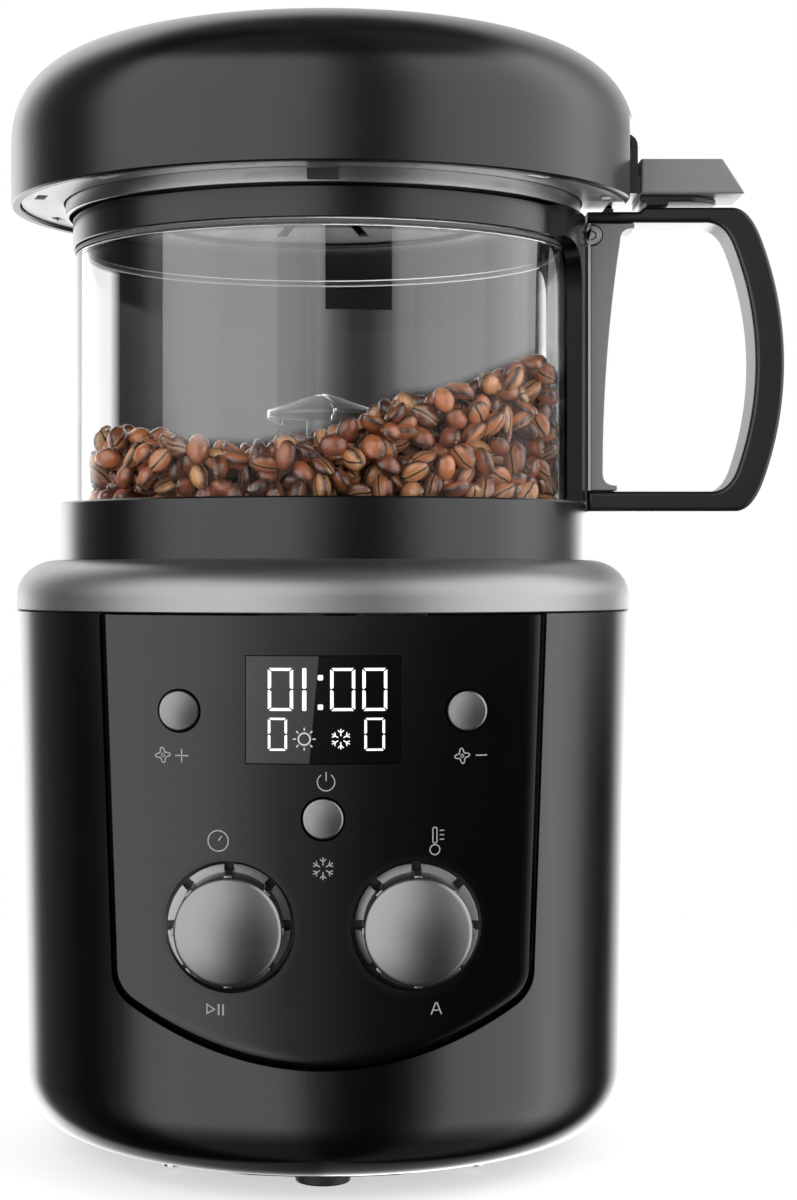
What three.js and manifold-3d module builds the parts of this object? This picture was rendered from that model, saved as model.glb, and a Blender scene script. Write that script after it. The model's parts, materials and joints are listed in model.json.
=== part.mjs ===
// Countertop hot-air coffee bean roaster: base with controls, lift-off glass jar, hinged lid.
// Millimetres, +Z up, front towards -Y, handle towards +X, upright axis through the jar.
import * as THREE from "three";
import { mergeVertices } from "three/addons/utils/BufferGeometryUtils.js";
import Module from "manifold-3d";

const wasm = await Module();
wasm.setup();

// Driving dimensions shared by several pieces
const seatGap = 0.3;
const runningGap = 0.5;
const cutOverrun = 4;
const weldDistance = 0.0001;

// Feet and bottom cover
const footRadius = 7.8;
const footHeight = 3.1;
const footInset = 11.5;
const coverInset = 1.5;
const coverThickness = 1.9;
const intakeSlotCount = 12;
const intakeInnerRadius = 27;
const intakeInset = 21.5;
const intakeSlotWidth = 4;
const screwInset = 4.5;
const screwShankRadius = 1.5;
const screwHeadRadius = 3;
const screwHeadHeight = 1.4;
const screwShankLength = 4.4;
const screwCount = 4;
const screwStart = Math.PI / 4;

// Base housing
const housingCornerRun = 24;
const housingTaper = 2.2;
const baseOverhang = 13.7;
const housingHeight = 152.9;
const housingCornerHeight = 21.4;
const housingCornerPower = 2.4;
const housingWall = 2.4;
const housingLipWidth = 5.2;
const housingLipHeight = 2.4;
const housingFlangeMargin = 4;

// Control fascia, recessed in the front of the housing
const fasciaDepth = 1.5;
const fasciaThickness = 2.2;
const fasciaGap = 0.35;
const fasciaHalfTop = 60.9;
const fasciaHalfLow = 57.3;
const fasciaHalfCorner = 51.5;
const fasciaDropLow = 96.9;
const fasciaDropCorner = 106.1;
const fasciaDropChin = 120.4;
const bossRadius = 3;

// Display
const windowHalfWidth = 20.7;
const windowDropTop = 10.7;
const windowHeight = 28.9;
const windowThickness = 1.6;
const displaySetback = 7.6;
const displayMargin = 0.8;

// Control board behind the fascia
const boardSetback = 1.45;
const boardThickness = 1.6;
const boardHalfWidth = 44;
const boardHeight = 88;
const boardDropTop = 8.5;

// Push buttons
const buttonRadius = 5.5;
const buttonHoleGap = 0.45;
const buttonFlange = 1.3;
const buttonFlangeThickness = 1;
const buttonProud = 0.2;
const buttonDome = 1.2;
const buttonDomeShares = [[0.8, 0.6], [0.45, 0.92]];
const buttonStemRadius = 1.8;
const buttonTravel = 1.2;
const fanButtonReach = 38.5;
const fanButtonDrop = 25.8;
const powerButtonDrop = 54;

// Rotary knobs with a push action
const knobReach = 25;
const knobDrop = 83.1;
const wellRadius = 17.6;
const wellWall = 1.3;
const wellDepth = 13.2;
const wellFloorThickness = 1.5;
const knobTravel = 1;
const rimRadius = 16.6;
const rimThickness = 2;
const rimFloorGap = 1.4;
const rimNotchCount = 8;
const rimNotchWidth = 2.4;
const rimNotchDepth = 1.9;
const capRadius = 14;
const capLength = 15.3;
const capCrown = 0.9;
const capFlatShare = 0.7;
const capRibReach = 0.7;
const capRibWidth = 2.2;
const shaftRadius = 3;
const shaftCapDepth = 10;
const sleeveThickness = 1.3;
const sleeveLength = 3.4;
const encoderSide = 12;

// Top ring and jar seat
const ringStep = 0.9;
const ringRise = 14.6;
const ringStraight = 4.2;
const ringMouthGap = 0.7;
const ringWall = 2;
const ringPower = 2;
const seatThickness = 2.4;
const seatDrop = 5.9;
const seatSkirtGap = 0.5;
const seatSkirtWall = 1.8;
const outletRadius = 32;

// Air path inside the base
const ductInset = 4;
const ductWall = 1.6;
const ductStraight = 57;
const heaterRadius = 30;
const heaterLength = 60.5;
const heaterWall = 1.6;
const heaterFlange = 4.4;
const grilleThickness = 1.5;
const grilleSlotWidth = 2.6;
const grilleSlotPitch = 6;
const grilleSideSlots = 3;
const frameThickness = 1;
const frameHalfWidth = 24;
const frameMargin = 10.5;
const frameFootHeight = 4;
const windingThickness = 1.4;
const windingRibs = 4;
const windingRibShare = 1.5;
const windingMargin = 3;

// Blower
const motorRadius = 20;
const motorHeight = 28;
const motorBore = 12;
const cradleWall = 2.2;
const cradleFloor = 2;
const cradleLift = 7;
const cradleRise = 12;
const spindleRadius = 2.5;
const impellerHubRadius = 10;
const impellerHeight = 15;
const impellerTipGap = 1.2;
const impellerBladeCount = 7;
const impellerBladeThickness = 1.6;
const impellerBladeShare = 0.9;
const impellerRootShare = 0.7;
const impellerPitch = Math.PI / 5;
const impellerLift = 2.4;

// Power board and cord gland at the back
const powerBoardGap = 6;
const powerBoardHalfWidth = 27;
const powerBoardHeight = 60;
const powerBoardBase = 62;
const powerBoardInset = 5;
const glandHeight = 34;
const glandFlangeRadius = 7;
const glandFlangeThickness = 2.2;
const glandBodyRadius = 5;
const glandBoreRadius = 3.2;
const glandBodyLength = 6;

// Glass jar
const glassRadius = 73.8;
const glassWall = 3;
const glassHeight = 92.6;
const sealThickness = 1.2;
const lowerCollarWall = 4.7;
const lowerCollarHeight = 22.6;
const ledgeHeight = 2;
const ledgeWidth = 4.8;
const upperCollarWall = 1;
const upperCollarHeight = 8.8;
const floorThickness = 1.5;
const floorSlotCount = 20;
const floorInnerRadius = 22;
const floorMargin = 8.8;
const floorSlotWidth = 2;
const deflectorRadius = 16.5;
const deflectorStem = 5;
const deflectorHeight = 51;
const deflectorRim = 1.2;
const deflectorCone = 5;

// Pillar that joins the collars behind the handle
const pillarHalfWidth = 20.3;
const pillarHeadHalfWidth = 37;
const pillarFlare = 14;

// Handle
const handleDepth = 58.8;
const handleFootDrop = 2.5;
const handleHalfWidth = 9;
const gripRadius = 104;
const gripThickness = 8.7;
const gripMidDrop = 0.95;
const topBarThickness = 4.6;
const bottomBarThickness = 6;
const cornerDrop = 9.7;
const cornerRun = 8.7;
const cornerLean = 1.2;
const innerCornerDrop = 7;
const innerCornerRun = 8;
const handleEdge = 1.4;
const underLidDrop = 1.3;
const spineTopDepth = 9.9;
const spineLowDepth = 4.7;
const spineFlare = 4.2;
const spineFlareRise = 5;
const spineFlareTip = 1.4;
const spineEdge = 0.5;
const handleScrewRadius = 3;
const handleScrewInset = 1.1;
const handleScrewDrop = 8.4;
const screwSocketRadius = 1.4;
const screwSocketDepth = 1.2;

// Lid
const lidOverhang = 18.3;
const lidWall = 2.6;
const lidShoulderRise = 17.1;
const lidShoulderRun = 45;
const lidShoulderHeight = 30.5;
const lidShoulderPower = 2.45;
const lidCrown = 4;
const lidRimRise = 3.3;
const lidFlatInset = 4.2;
const lidFlatHeight = 24.8;
const ribGap = 1.2;
const ribWall = 1.8;
const ribWindowCount = 8;
const ribWindowWidth = 22;
const ribWindowHeight = 14;
const ribLandHeight = 5;
const underplateGap = 0.4;
const underplateThickness = 2;
const underplateLift = 1.1;
const underplateBoreGap = 0.5;
const ventCount = 12;
const ventWidth = 3;
const ventLength = 8;
const linerGap = 2.2;
const linerWall = 1.1;
const linerHeight = 16;
const linerLug = 0.9;
const linerLugHeight = 1.2;
const linerShelfWidth = 9;
const flangeSeat = 2;
const flangeWidth = 20;
const flangeThickness = 1.2;
const flangeWall = 1.2;
const flangeDip = 1.1;
const filterRise = 5;
const filterThickness = 1.2;
const filterHoleCount = 10;
const filterHoleWidth = 3;
const filterHoleStart = 12.3;
const filterHoleLength = 30;
const catchWidth = 8.8;
const catchHeight = 3;
const catchThickness = 1;
const catchLift = 0.6;

// Hinge at the top of the handle
const hingeInset = 3.3;
const hingeRise = 18.1;
const knuckleRadius = 3.4;
const pinRadius = 1.3;
const knuckleHalfWidth = 8;
const knuckleGap = 0.3;
const bracketHalfWidth = 12;
const bracketTopLength = 24.2;
const bracketLowLength = 30.8;
const bracketRise = 3.9;
const bracketThickness = 10.3;
const bracketGap = 1.1;
const yokeReach = 4.2;
const yokeWeb = 5.2;
const notchGap = 0.8;
const plateLength = 23.8;
const plateInset = 2.4;
const postSetback = 1.8;
const postWidth = 6.6;

// Radii and reaches, each from the piece that it fits
const lowerCollarRadius = glassRadius + lowerCollarWall;
const upperCollarRadius = glassRadius + upperCollarWall;
const pillarRadius = lowerCollarRadius;
const ledgeRadius = glassRadius - glassWall - ledgeWidth;
const floorOuterRadius = glassRadius - glassWall - floorMargin;
const housingTopRadius = lowerCollarRadius + baseOverhang;
const housingLowRadius = housingTopRadius - housingTaper;
const housingFootRadius = housingLowRadius - housingCornerRun;
const housingLipRadius = housingTopRadius - housingLipWidth;
const coverRadius = housingFootRadius - coverInset;
const screwRing = coverRadius - screwInset;
const housingOpeningRadius = screwRing - housingFlangeMargin;
const footRing = coverRadius - footInset;
const intakeOuterRadius = coverRadius - intakeInset;
const ringRadius = housingTopRadius - ringStep;
const ringMouthRadius = lowerCollarRadius + ringMouthGap;
const seatSkirtRadius = ringRadius - ringWall - seatSkirtGap;
const ductRadius = housingOpeningRadius - ductInset;
const powerBoardBack = ductRadius + ductWall + powerBoardGap;
const buttonFlangeRadius = buttonRadius + buttonFlange;
const buttonSkinRadius = housingLowRadius - fasciaDepth - fasciaThickness;
const buttonSkinDepth = Math.sqrt(buttonSkinRadius ** 2 - (fanButtonReach + buttonFlangeRadius) ** 2);
const boardFront = buttonSkinDepth - boardSetback;
const wellFloor = housingTopRadius - wellDepth;
const displayFront = housingTopRadius - displaySetback;
const lidRadius = upperCollarRadius + lidOverhang;
const linerRadius = upperCollarRadius + linerGap;
const ribRadius = linerRadius + ribGap;
const underplateBore = linerRadius + underplateBoreGap;
const underplateRadius = lidRadius - lidWall - underplateGap;
const linerShelf = linerRadius - linerShelfWidth;
const flangeRadius = linerShelf + flangeSeat;
const flangeBore = flangeRadius - flangeWidth;
const hingeReach = lidRadius - hingeInset;
const bracketStart = lidRadius + bracketGap;
const bracketTopReach = bracketStart + bracketTopLength;
const bracketLowReach = bracketStart + bracketLowLength;
const yokeStart = hingeReach - yokeReach;
const plateReach = bracketStart + plateLength;
const postStart = bracketStart + postSetback;
const handleReach = pillarRadius + handleDepth;
const spineTopReach = pillarRadius + spineTopDepth;
const spineLowReach = pillarRadius + spineLowDepth;

// Levels, from the surface the roaster stands on
const coverBottom = footHeight + seatGap;
const coverTop = coverBottom + coverThickness;
const housingBottom = coverTop + seatGap;
const housingTop = housingBottom + housingHeight;
const ringBottom = housingTop + seatGap;
const ringTop = ringBottom + ringRise;
const seatTop = ringTop - seatDrop;
const seatBottom = seatTop - seatThickness;
const collarBottom = seatTop + seatGap;
const ledgeTop = collarBottom + ledgeHeight;
const glassBottom = ledgeTop + sealThickness + 2 * seatGap;
const glassTop = glassBottom + glassHeight;
const upperCollarBottom = glassTop + sealThickness + 2 * seatGap;
const upperCollarTop = upperCollarBottom + upperCollarHeight;
const lidRim = upperCollarTop + lidRimRise;
const lidTop = lidRim + lidShoulderRise + lidShoulderHeight + lidCrown;
const hingeLevel = lidRim + hingeRise;
const handleTop = lidRim + seatGap;
const handleBottom = collarBottom + lowerCollarHeight - handleFootDrop;
const bracketBottom = handleTop + bracketRise - seatGap;
const bracketTop = bracketBottom + bracketThickness;
const heaterTop = seatBottom - seatGap;
const heaterBottom = heaterTop - heaterLength;
const frameHeight = heaterLength - frameMargin;
const ductTop = heaterBottom - seatGap;
const motorBottom = coverTop + cradleLift + cradleFloor + 2 * seatGap;
const motorTop = motorBottom + motorHeight;
const knobLevel = housingTop - knobDrop;
const boardTop = housingTop - boardDropTop;

// Facets of round pieces
const largeSteps = 40;
const mediumSteps = 20;
const smallSteps = 14;
const fineSteps = 12;
const socketSides = 6;
const arcSteps = 6;
const innerArcSteps = 3;

function merged(geometry) {
  const bare = geometry.clone();
  bare.deleteAttribute("normal");
  bare.deleteAttribute("uv");
  return mergeVertices(bare, weldDistance);
}

function solidOf(geometry) {
  const { index, attributes } = merged(geometry);
  const faces = [];
  for (let i = 0; i < index.count; i += 3) {
    const [a, b, c] = [index.getX(i), index.getX(i + 1), index.getX(i + 2)];
    if (a !== b && b !== c && c !== a) faces.push(a, b, c);
  }
  const triVerts = new Uint32Array(faces);
  const vertProperties = new Float32Array(attributes.position.array);
  return new wasm.Manifold(new wasm.Mesh({ numProp: 3, vertProperties, triVerts }));
}

function geometryOf(solid) {
  const { vertProperties, triVerts } = solid.getMesh();
  const geometry = new THREE.BufferGeometry();
  geometry.setAttribute("position", new THREE.BufferAttribute(new Float32Array(vertProperties), 3));
  geometry.setIndex(new THREE.BufferAttribute(new Uint32Array(triVerts), 1));
  return geometry;
}

function joined(...geometries) {
  return geometryOf(geometries.map(solidOf).reduce((whole, piece) => whole.add(piece)));
}

function cut(geometry, ...cutters) {
  const solids = cutters.map(solidOf);
  return geometryOf(solids.reduce((whole, cutter) => whole.subtract(cutter), solidOf(geometry)));
}

function common(first, second) {
  return geometryOf(solidOf(first).intersect(solidOf(second)));
}

// Revolves an outline of [radius, level] points about the upright axis, faces outward.
function turned(outline, steps = largeSteps) {
  const points = outline.map(([radius, level]) => new THREE.Vector2(radius, level));
  const onAxis = points[0].x === 0 && points[points.length - 1].x === 0;
  if (THREE.ShapeUtils.area(points) < 0) points.reverse();
  if (!onAxis) points.push(points[0].clone());
  return new THREE.LatheGeometry(points, steps).rotateX(Math.PI / 2);
}

function ring(inner, outer, low, high, steps = largeSteps) {
  return turned([[inner, low], [outer, low], [outer, high], [inner, high]], steps);
}

function disc(radius, low, high, steps = mediumSteps) {
  return turned([[0, low], [radius, low], [radius, high], [0, high]], steps);
}

function block(x0, x1, y0, y1, z0, z1) {
  const geometry = new THREE.BoxGeometry(x1 - x0, y1 - y0, z1 - z0);
  return geometry.translate((x0 + x1) / 2, (y0 + y1) / 2, (z0 + z1) / 2);
}

function shapeOf(points) {
  return new THREE.Shape(points.map(([x, y]) => new THREE.Vector2(x, y)));
}

// Extrudes an outline drawn in X and Z along Y.
function slab(shape, y0, y1, edge = 0) {
  const bevel = { bevelThickness: edge, bevelSize: edge, bevelOffset: -edge, bevelSegments: 1 };
  const options = { depth: y1 - y0 - 2 * edge, curveSegments: arcSteps, bevelEnabled: edge > 0, ...bevel };
  const geometry = new THREE.ExtrudeGeometry(shape, options);
  return geometry.rotateX(Math.PI / 2).translate(0, y1 - edge, 0);
}

// Extrudes an outline drawn in Y and Z along X.
function bar(shape, x0, x1) {
  const options = { depth: x1 - x0, curveSegments: arcSteps, bevelEnabled: false };
  const geometry = new THREE.ExtrudeGeometry(shape, options);
  const turn = new THREE.Matrix4().set(0, 0, 1, x0, 1, 0, 0, 0, 0, 1, 0, 0, 0, 0, 0, 1);
  return geometry.applyMatrix4(turn);
}

// Stands a piece that was turned about Z on an axis along Y, its foot at the back.
function alongY(geometry, x, y, z) {
  return geometry.rotateX(Math.PI / 2).translate(x, y, z);
}

function rod(radius, x, z, front, back, steps = smallSteps) {
  return alongY(disc(radius, 0, back - front, steps), x, back, z);
}

function arrayed(geometry, count, start = 0) {
  const copies = [];
  for (let i = 0; i < count; i += 1) {
    copies.push(geometry.clone().rotateZ(start + (i * 2 * Math.PI) / count));
  }
  return copies;
}

function mesh(name, geometry, color, roughness, metalness) {
  const material = new THREE.MeshStandardMaterial({ color, roughness, metalness });
  const piece = new THREE.Mesh(geometry, material);
  piece.name = name;
  return piece;
}

const black = [0x161616, 0.3, 0];
const glossBlack = [0x0c0c0d, 0.12, 0];
const rubber = [0x1c1c1c, 0.8, 0];
const silver = [0xa6a6a6, 0.35, 1];
const steel = [0xb8b8b8, 0.3, 1];
const grey = [0x848484, 0.45, 0.3];
const boardGreen = [0x1f5a38, 0.6, 0];
const mica = [0xc9b99a, 0.7, 0];
const heaterWire = [0x8c7a6b, 0.4, 1];
const glass = [0xdfe8ea, 0.05, 0];
const paleSilicone = [0xd8d8d8, 0.6, 0];

// Radius of the housing's outer wall at a level
function housingRadiusAt(level) {
  const start = housingBottom + housingCornerHeight;
  const share = (level - start) / (housingTop - start);
  return housingLowRadius + (housingTopRadius - housingLowRadius) * share;
}

// Points of a rounded shoulder: a superellipse quarter from its foot on the outside to its top
function shoulder(centerRadius, foot, run, rise, power, steps = arcSteps) {
  const points = [];
  for (let i = 0; i <= steps; i += 1) {
    const angle = (i / steps) * (Math.PI / 2);
    const out = i === steps ? 0 : Math.cos(angle) ** (2 / power);
    points.push([centerRadius + run * out, foot + rise * Math.sin(angle) ** (2 / power)]);
  }
  return points;
}

// Front surface of the fascia at a place across the housing
function fasciaFrontAt(x, level) {
  return -Math.sqrt((housingRadiusAt(level) - fasciaDepth) ** 2 - x ** 2);
}

function fasciaOutline(grow) {
  const top = housingTop + (grow > 0 ? cutOverrun : -seatGap);
  const low = housingTop - fasciaDropLow;
  const corner = housingTop - fasciaDropCorner;
  const chin = housingTop - fasciaDropChin;
  const slope = (corner - chin) / (fasciaHalfCorner / 2);
  const turn = corner - grow + slope * (fasciaHalfLow - fasciaHalfCorner + 2 * grow);
  const shape = new THREE.Shape();
  shape.moveTo(fasciaHalfTop + grow, top);
  shape.lineTo(-fasciaHalfTop - grow, top);
  shape.lineTo(-fasciaHalfLow - grow, low);
  shape.quadraticCurveTo(-fasciaHalfLow - grow, turn, -fasciaHalfCorner + grow, corner - grow);
  shape.quadraticCurveTo(-fasciaHalfCorner / 2, chin - grow, 0, chin - grow);
  shape.quadraticCurveTo(fasciaHalfCorner / 2, chin - grow, fasciaHalfCorner - grow, corner - grow);
  shape.quadraticCurveTo(fasciaHalfLow + grow, turn, fasciaHalfLow + grow, low);
  return shape;
}

// Shell that follows the housing wall, set back from its surface
function wallShell(setBack, thickness, low, high) {
  const outerLow = housingRadiusAt(low) - setBack;
  const outerHigh = housingRadiusAt(high) - setBack;
  return turned([
    [outerLow - thickness, low],
    [outerLow, low],
    [outerHigh, high],
    [outerHigh - thickness, high],
  ]);
}

const windowTop = housingTop - windowDropTop;
const windowBottom = windowTop - windowHeight;
const boardBosses = [
  [bossRadius - boardHalfWidth, boardTop - bossRadius],
  [boardHalfWidth - bossRadius, boardTop - bossRadius],
  [0, boardTop - boardHeight + bossRadius],
];
const buttonPlaces = [
  ["fan_plus_button", -fanButtonReach, housingTop - fanButtonDrop],
  ["fan_minus_button", fanButtonReach, housingTop - fanButtonDrop],
  ["power_button", 0, housingTop - powerButtonDrop],
];
const knobPlaces = [["timer", -knobReach], ["temperature", knobReach]];
const cornerTop = housingBottom + housingCornerHeight;
const powerBossReach = powerBoardHalfWidth - powerBoardInset;
const powerBosses = [
  [-powerBossReach, powerBoardBase + powerBoardInset],
  [powerBossReach, powerBoardBase + powerBoardInset],
  [-powerBossReach, powerBoardBase + powerBoardHeight - powerBoardInset],
  [powerBossReach, powerBoardBase + powerBoardHeight - powerBoardInset],
];
const buttonHoleRadius = buttonRadius + buttonHoleGap;
const frontLimit = -housingTopRadius - cutOverrun;

function baseHousing() {
  const run = housingLowRadius - housingFootRadius;
  const rise = housingCornerHeight;
  const innerRun = run - housingWall;
  const innerRise = rise - housingWall;
  const power = housingCornerPower;
  const corner = shoulder(housingFootRadius, -cornerTop, run, rise, power);
  const innerCorner = shoulder(housingFootRadius, -cornerTop, innerRun, innerRise, power, innerArcSteps);
  const low = corner.map(([radius, level]) => [radius, -level]).reverse();
  const inner = innerCorner.map(([radius, level]) => [radius, -level]);
  const wallTop = housingTopRadius - housingWall;
  const shell = turned([
    [housingOpeningRadius, housingBottom],
    ...low,
    [housingTopRadius, housingTop],
    [housingLipRadius, housingTop],
    [housingLipRadius, housingTop - housingLipHeight],
    [wallTop, housingTop - housingLipHeight],
    ...inner,
    [housingOpeningRadius, housingBottom + housingWall],
  ]);
  const opening = slab(fasciaOutline(fasciaGap), frontLimit, -housingFootRadius / 2);
  const screwHole = disc(screwShankRadius + seatGap, 0, housingBottom + cutOverrun, smallSteps);
  screwHole.translate(screwRing, 0, 0);
  const screwHoles = arrayed(screwHole, screwCount, screwStart);
  const bosses = powerBosses.map(([x, z]) => {
    const skin = housingRadiusAt(z) - housingWall / 2;
    const back = Math.sqrt(skin ** 2 - (Math.abs(x) + bossRadius) ** 2);
    return rod(bossRadius, x, z, powerBoardBack + seatGap, back, fineSteps);
  });
  const glandHole = rod(glandBodyRadius + seatGap, 0, glandHeight, housingFootRadius, -frontLimit);
  return cut(joined(shell, ...bosses), opening, ...screwHoles, glandHole);
}

function controlFascia() {
  const low = housingTop - fasciaDropChin - cutOverrun;
  const plate = common(
    wallShell(fasciaDepth, fasciaThickness, low, housingTop + cutOverrun),
    slab(fasciaOutline(0), frontLimit, -housingFootRadius / 2),
  );
  const outer = wellRadius + wellWall;
  const face = disc(
    housingRadiusAt(knobLevel) - fasciaDepth, knobLevel - 2 * outer, knobLevel + 2 * outer, largeSteps);
  const wells = knobPlaces.map(([, x]) => {
    const back = -wellFloor + wellFloorThickness;
    return common(rod(outer, x, knobLevel, frontLimit, back, mediumSteps), face);
  });
  const bosses = boardBosses.map(([x, z]) => {
    const skin = housingRadiusAt(z) - fasciaDepth - fasciaThickness / 2;
    const front = -Math.sqrt(skin ** 2 - (Math.abs(x) + bossRadius) ** 2);
    return rod(bossRadius, x, z, front, -boardFront - seatGap, fineSteps);
  });
  const wellBores = knobPlaces.map(([, x]) =>
    rod(wellRadius, x, knobLevel, frontLimit, -wellFloor, mediumSteps));
  const shaftHoles = knobPlaces.map(([, x]) =>
    rod(shaftRadius + runningGap, x, knobLevel, frontLimit, -boardFront));
  const buttonHoles = buttonPlaces.map(([, x, z]) =>
    rod(buttonHoleRadius, x, z, frontLimit, -boardFront));
  const windowHole = block(
    -windowHalfWidth, windowHalfWidth, frontLimit, -boardFront, windowBottom, windowTop);
  const body = joined(plate, ...wells, ...bosses);
  return cut(body, ...wellBores, ...shaftHoles, ...buttonHoles, windowHole);
}

function displayWindow() {
  const half = windowHalfWidth - seatGap;
  return common(
    wallShell(fasciaDepth, windowThickness, windowBottom - cutOverrun, windowTop + cutOverrun),
    block(-half, half, frontLimit, -boardFront, windowBottom + seatGap, windowTop - seatGap),
  );
}

function displayModule() {
  const half = windowHalfWidth + displayMargin;
  const low = windowBottom - displayMargin;
  const high = windowTop + displayMargin;
  return block(-half, half, -displayFront, -boardFront - seatGap, low, high);
}

function controlBoard() {
  const back = boardThickness - boardFront;
  return block(-boardHalfWidth, boardHalfWidth, -boardFront, back, boardTop - boardHeight, boardTop);
}

function pushButton(x, z) {
  const face = fasciaFrontAt(x, z) - buttonProud;
  const backSkin = (housingRadiusAt(z) - fasciaDepth - fasciaThickness) ** 2;
  const flangeFront = -Math.sqrt(backSkin - (Math.abs(x) + buttonFlangeRadius) ** 2) + seatGap;
  const flangeBack = flangeFront + buttonFlangeThickness;
  const tip = -boardFront - buttonTravel - seatGap;
  const outline = [
    [0, 0],
    [buttonStemRadius, 0],
    [buttonStemRadius, tip - flangeBack],
    [buttonFlangeRadius, tip - flangeBack],
    [buttonFlangeRadius, tip - flangeFront],
    [buttonRadius, tip - flangeFront],
    [buttonRadius, tip - face],
    ...buttonDomeShares.map(([out, up]) => [buttonRadius * out, tip - face + buttonDome * up]),
    [0, tip - face + buttonDome],
  ];
  return alongY(turned(outline, smallSteps), x, tip, z);
}

function knobRim(x) {
  const back = -wellFloor - rimFloorGap;
  const body = alongY(ring(shaftRadius + runningGap, rimRadius, 0, rimThickness, mediumSteps), 0, 0, 0);
  const half = rimNotchWidth / 2;
  const front = -rimThickness - cutOverrun;
  const low = rimRadius - rimNotchDepth;
  const notches = [];
  for (let i = 0; i < rimNotchCount; i += 1) {
    const notch = block(-half, half, front, cutOverrun, low, rimRadius + cutOverrun);
    notches.push(notch.rotateY((i * 2 * Math.PI) / rimNotchCount));
  }
  return cut(body, ...notches).translate(x, back, knobLevel);
}

function knobCap(x) {
  const back = -wellFloor - rimFloorGap - rimThickness - seatGap;
  const outline = [
    [0, 0],
    [capRadius, 0],
    [capRadius, capLength - capCrown],
    [capRadius - capCrown / 2, capLength - capCrown / 4],
    [capRadius * capFlatShare, capLength],
    [0, capLength + capCrown / 3],
  ];
  const body = alongY(turned(outline, mediumSteps), 0, 0, 0);
  const half = capRibWidth / 2;
  const ribFront = capCrown - capLength;
  const ribs = [];
  for (let i = 0; i < rimNotchCount; i += 1) {
    const rib = block(-half, half, ribFront, 0, capRadius - capRibReach, capRadius + capRibReach);
    ribs.push(rib.rotateY((i * 2 * Math.PI) / rimNotchCount));
  }
  const bore = rod(shaftRadius + seatGap, 0, 0, -shaftCapDepth - seatGap, cutOverrun);
  return cut(joined(body, ...ribs), bore).translate(x, back, knobLevel);
}

function knobShaft(x) {
  const capBack = -wellFloor - rimFloorGap - rimThickness - seatGap;
  return rod(shaftRadius, x, knobLevel, capBack - shaftCapDepth, -boardFront - knobTravel - 2 * seatGap);
}

function encoderBody(x) {
  const half = encoderSide / 2;
  const front = -wellFloor + wellFloorThickness + seatGap;
  const body = block(x - half, x + half, front, -boardFront - seatGap, knobLevel - half, knobLevel + half);
  const boreRadius = shaftRadius + sleeveThickness + 2 * seatGap;
  return cut(body, rod(boreRadius, x, knobLevel, front - cutOverrun, -boardFront));
}

function knobSleeve(x) {
  const inner = shaftRadius + seatGap;
  const back = -boardFront - knobTravel - 2 * seatGap;
  return alongY(ring(inner, inner + sleeveThickness, 0, sleeveLength, smallSteps), x, back, knobLevel);
}

function topRing() {
  const run = ringRadius - ringMouthRadius;
  const foot = ringBottom + ringStraight;
  const rise = ringTop - foot;
  const center = ringMouthRadius + ringWall;
  const outer = shoulder(ringMouthRadius, foot, run, rise, ringPower);
  const inner = shoulder(center, foot, run - 2 * ringWall, rise - ringWall, ringPower, innerArcSteps);
  return turned([
    [ringRadius, ringBottom],
    ...outer,
    [ringMouthRadius, seatTop + seatGap],
    [center, seatTop + seatGap],
    ...inner.reverse(),
    [ringRadius - ringWall, ringBottom],
  ]);
}

function jarSeat() {
  const inner = seatSkirtRadius - seatSkirtWall;
  return turned([
    [outletRadius, seatBottom],
    [inner, seatBottom],
    [inner, ringBottom],
    [seatSkirtRadius, ringBottom],
    [seatSkirtRadius, ringBottom + ringStraight - seatGap],
    [seatSkirtRadius - 2 * ringWall, seatTop],
    [outletRadius, seatTop],
  ], mediumSteps);
}

function airGrille() {
  const low = heaterTop + seatGap;
  const plate = disc(heaterRadius + heaterWall, low, low + grilleThickness);
  const reach = heaterRadius - grilleSlotPitch / 2;
  const slots = [];
  for (let i = -grilleSideSlots; i <= grilleSideSlots; i += 1) {
    const middle = i * grilleSlotPitch;
    const half = Math.sqrt(reach ** 2 - middle ** 2);
    const start = middle - grilleSlotWidth / 2;
    slots.push(block(start, start + grilleSlotWidth, -half, half, heaterTop, seatTop));
  }
  return cut(plate, ...slots);
}

function heaterTube() {
  const outer = heaterRadius + heaterWall;
  return turned([
    [heaterRadius, heaterBottom],
    [outer + heaterFlange, heaterBottom],
    [outer + heaterFlange, heaterBottom + heaterWall],
    [outer, heaterBottom + heaterWall],
    [outer, heaterTop - heaterWall],
    [outer + heaterFlange, heaterTop - heaterWall],
    [outer + heaterFlange, heaterTop],
    [heaterRadius, heaterTop],
  ], mediumSteps);
}

function heaterFrame() {
  const half = frameThickness / 2;
  const foot = heaterRadius - seatGap;
  const low = heaterBottom;
  const high = low + frameFootHeight;
  return joined(
    block(-foot, foot, -half, half, low, high),
    block(-half, half, -foot, foot, low, high),
    block(-frameHalfWidth, frameHalfWidth, -half, half, low, low + frameHeight),
    block(-half, half, -frameHalfWidth, frameHalfWidth, low, low + frameHeight),
  );
}

// The wire is wound round the mica cross in a ribbed sleeve that stands on the cross's feet.
function heaterWinding() {
  const inner = frameHalfWidth + seatGap;
  const low = heaterBottom + frameFootHeight + seatGap;
  const high = heaterBottom + frameHeight - windingMargin;
  const outer = [];
  for (let i = 0; i <= 2 * windingRibs; i += 1) {
    const level = low + ((high - low) * i) / (2 * windingRibs);
    outer.push([inner + windingThickness * (i % 2 ? windingRibShare : 1), level]);
  }
  return turned([[inner, low], ...outer, [inner, high]], mediumSteps);
}

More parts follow.
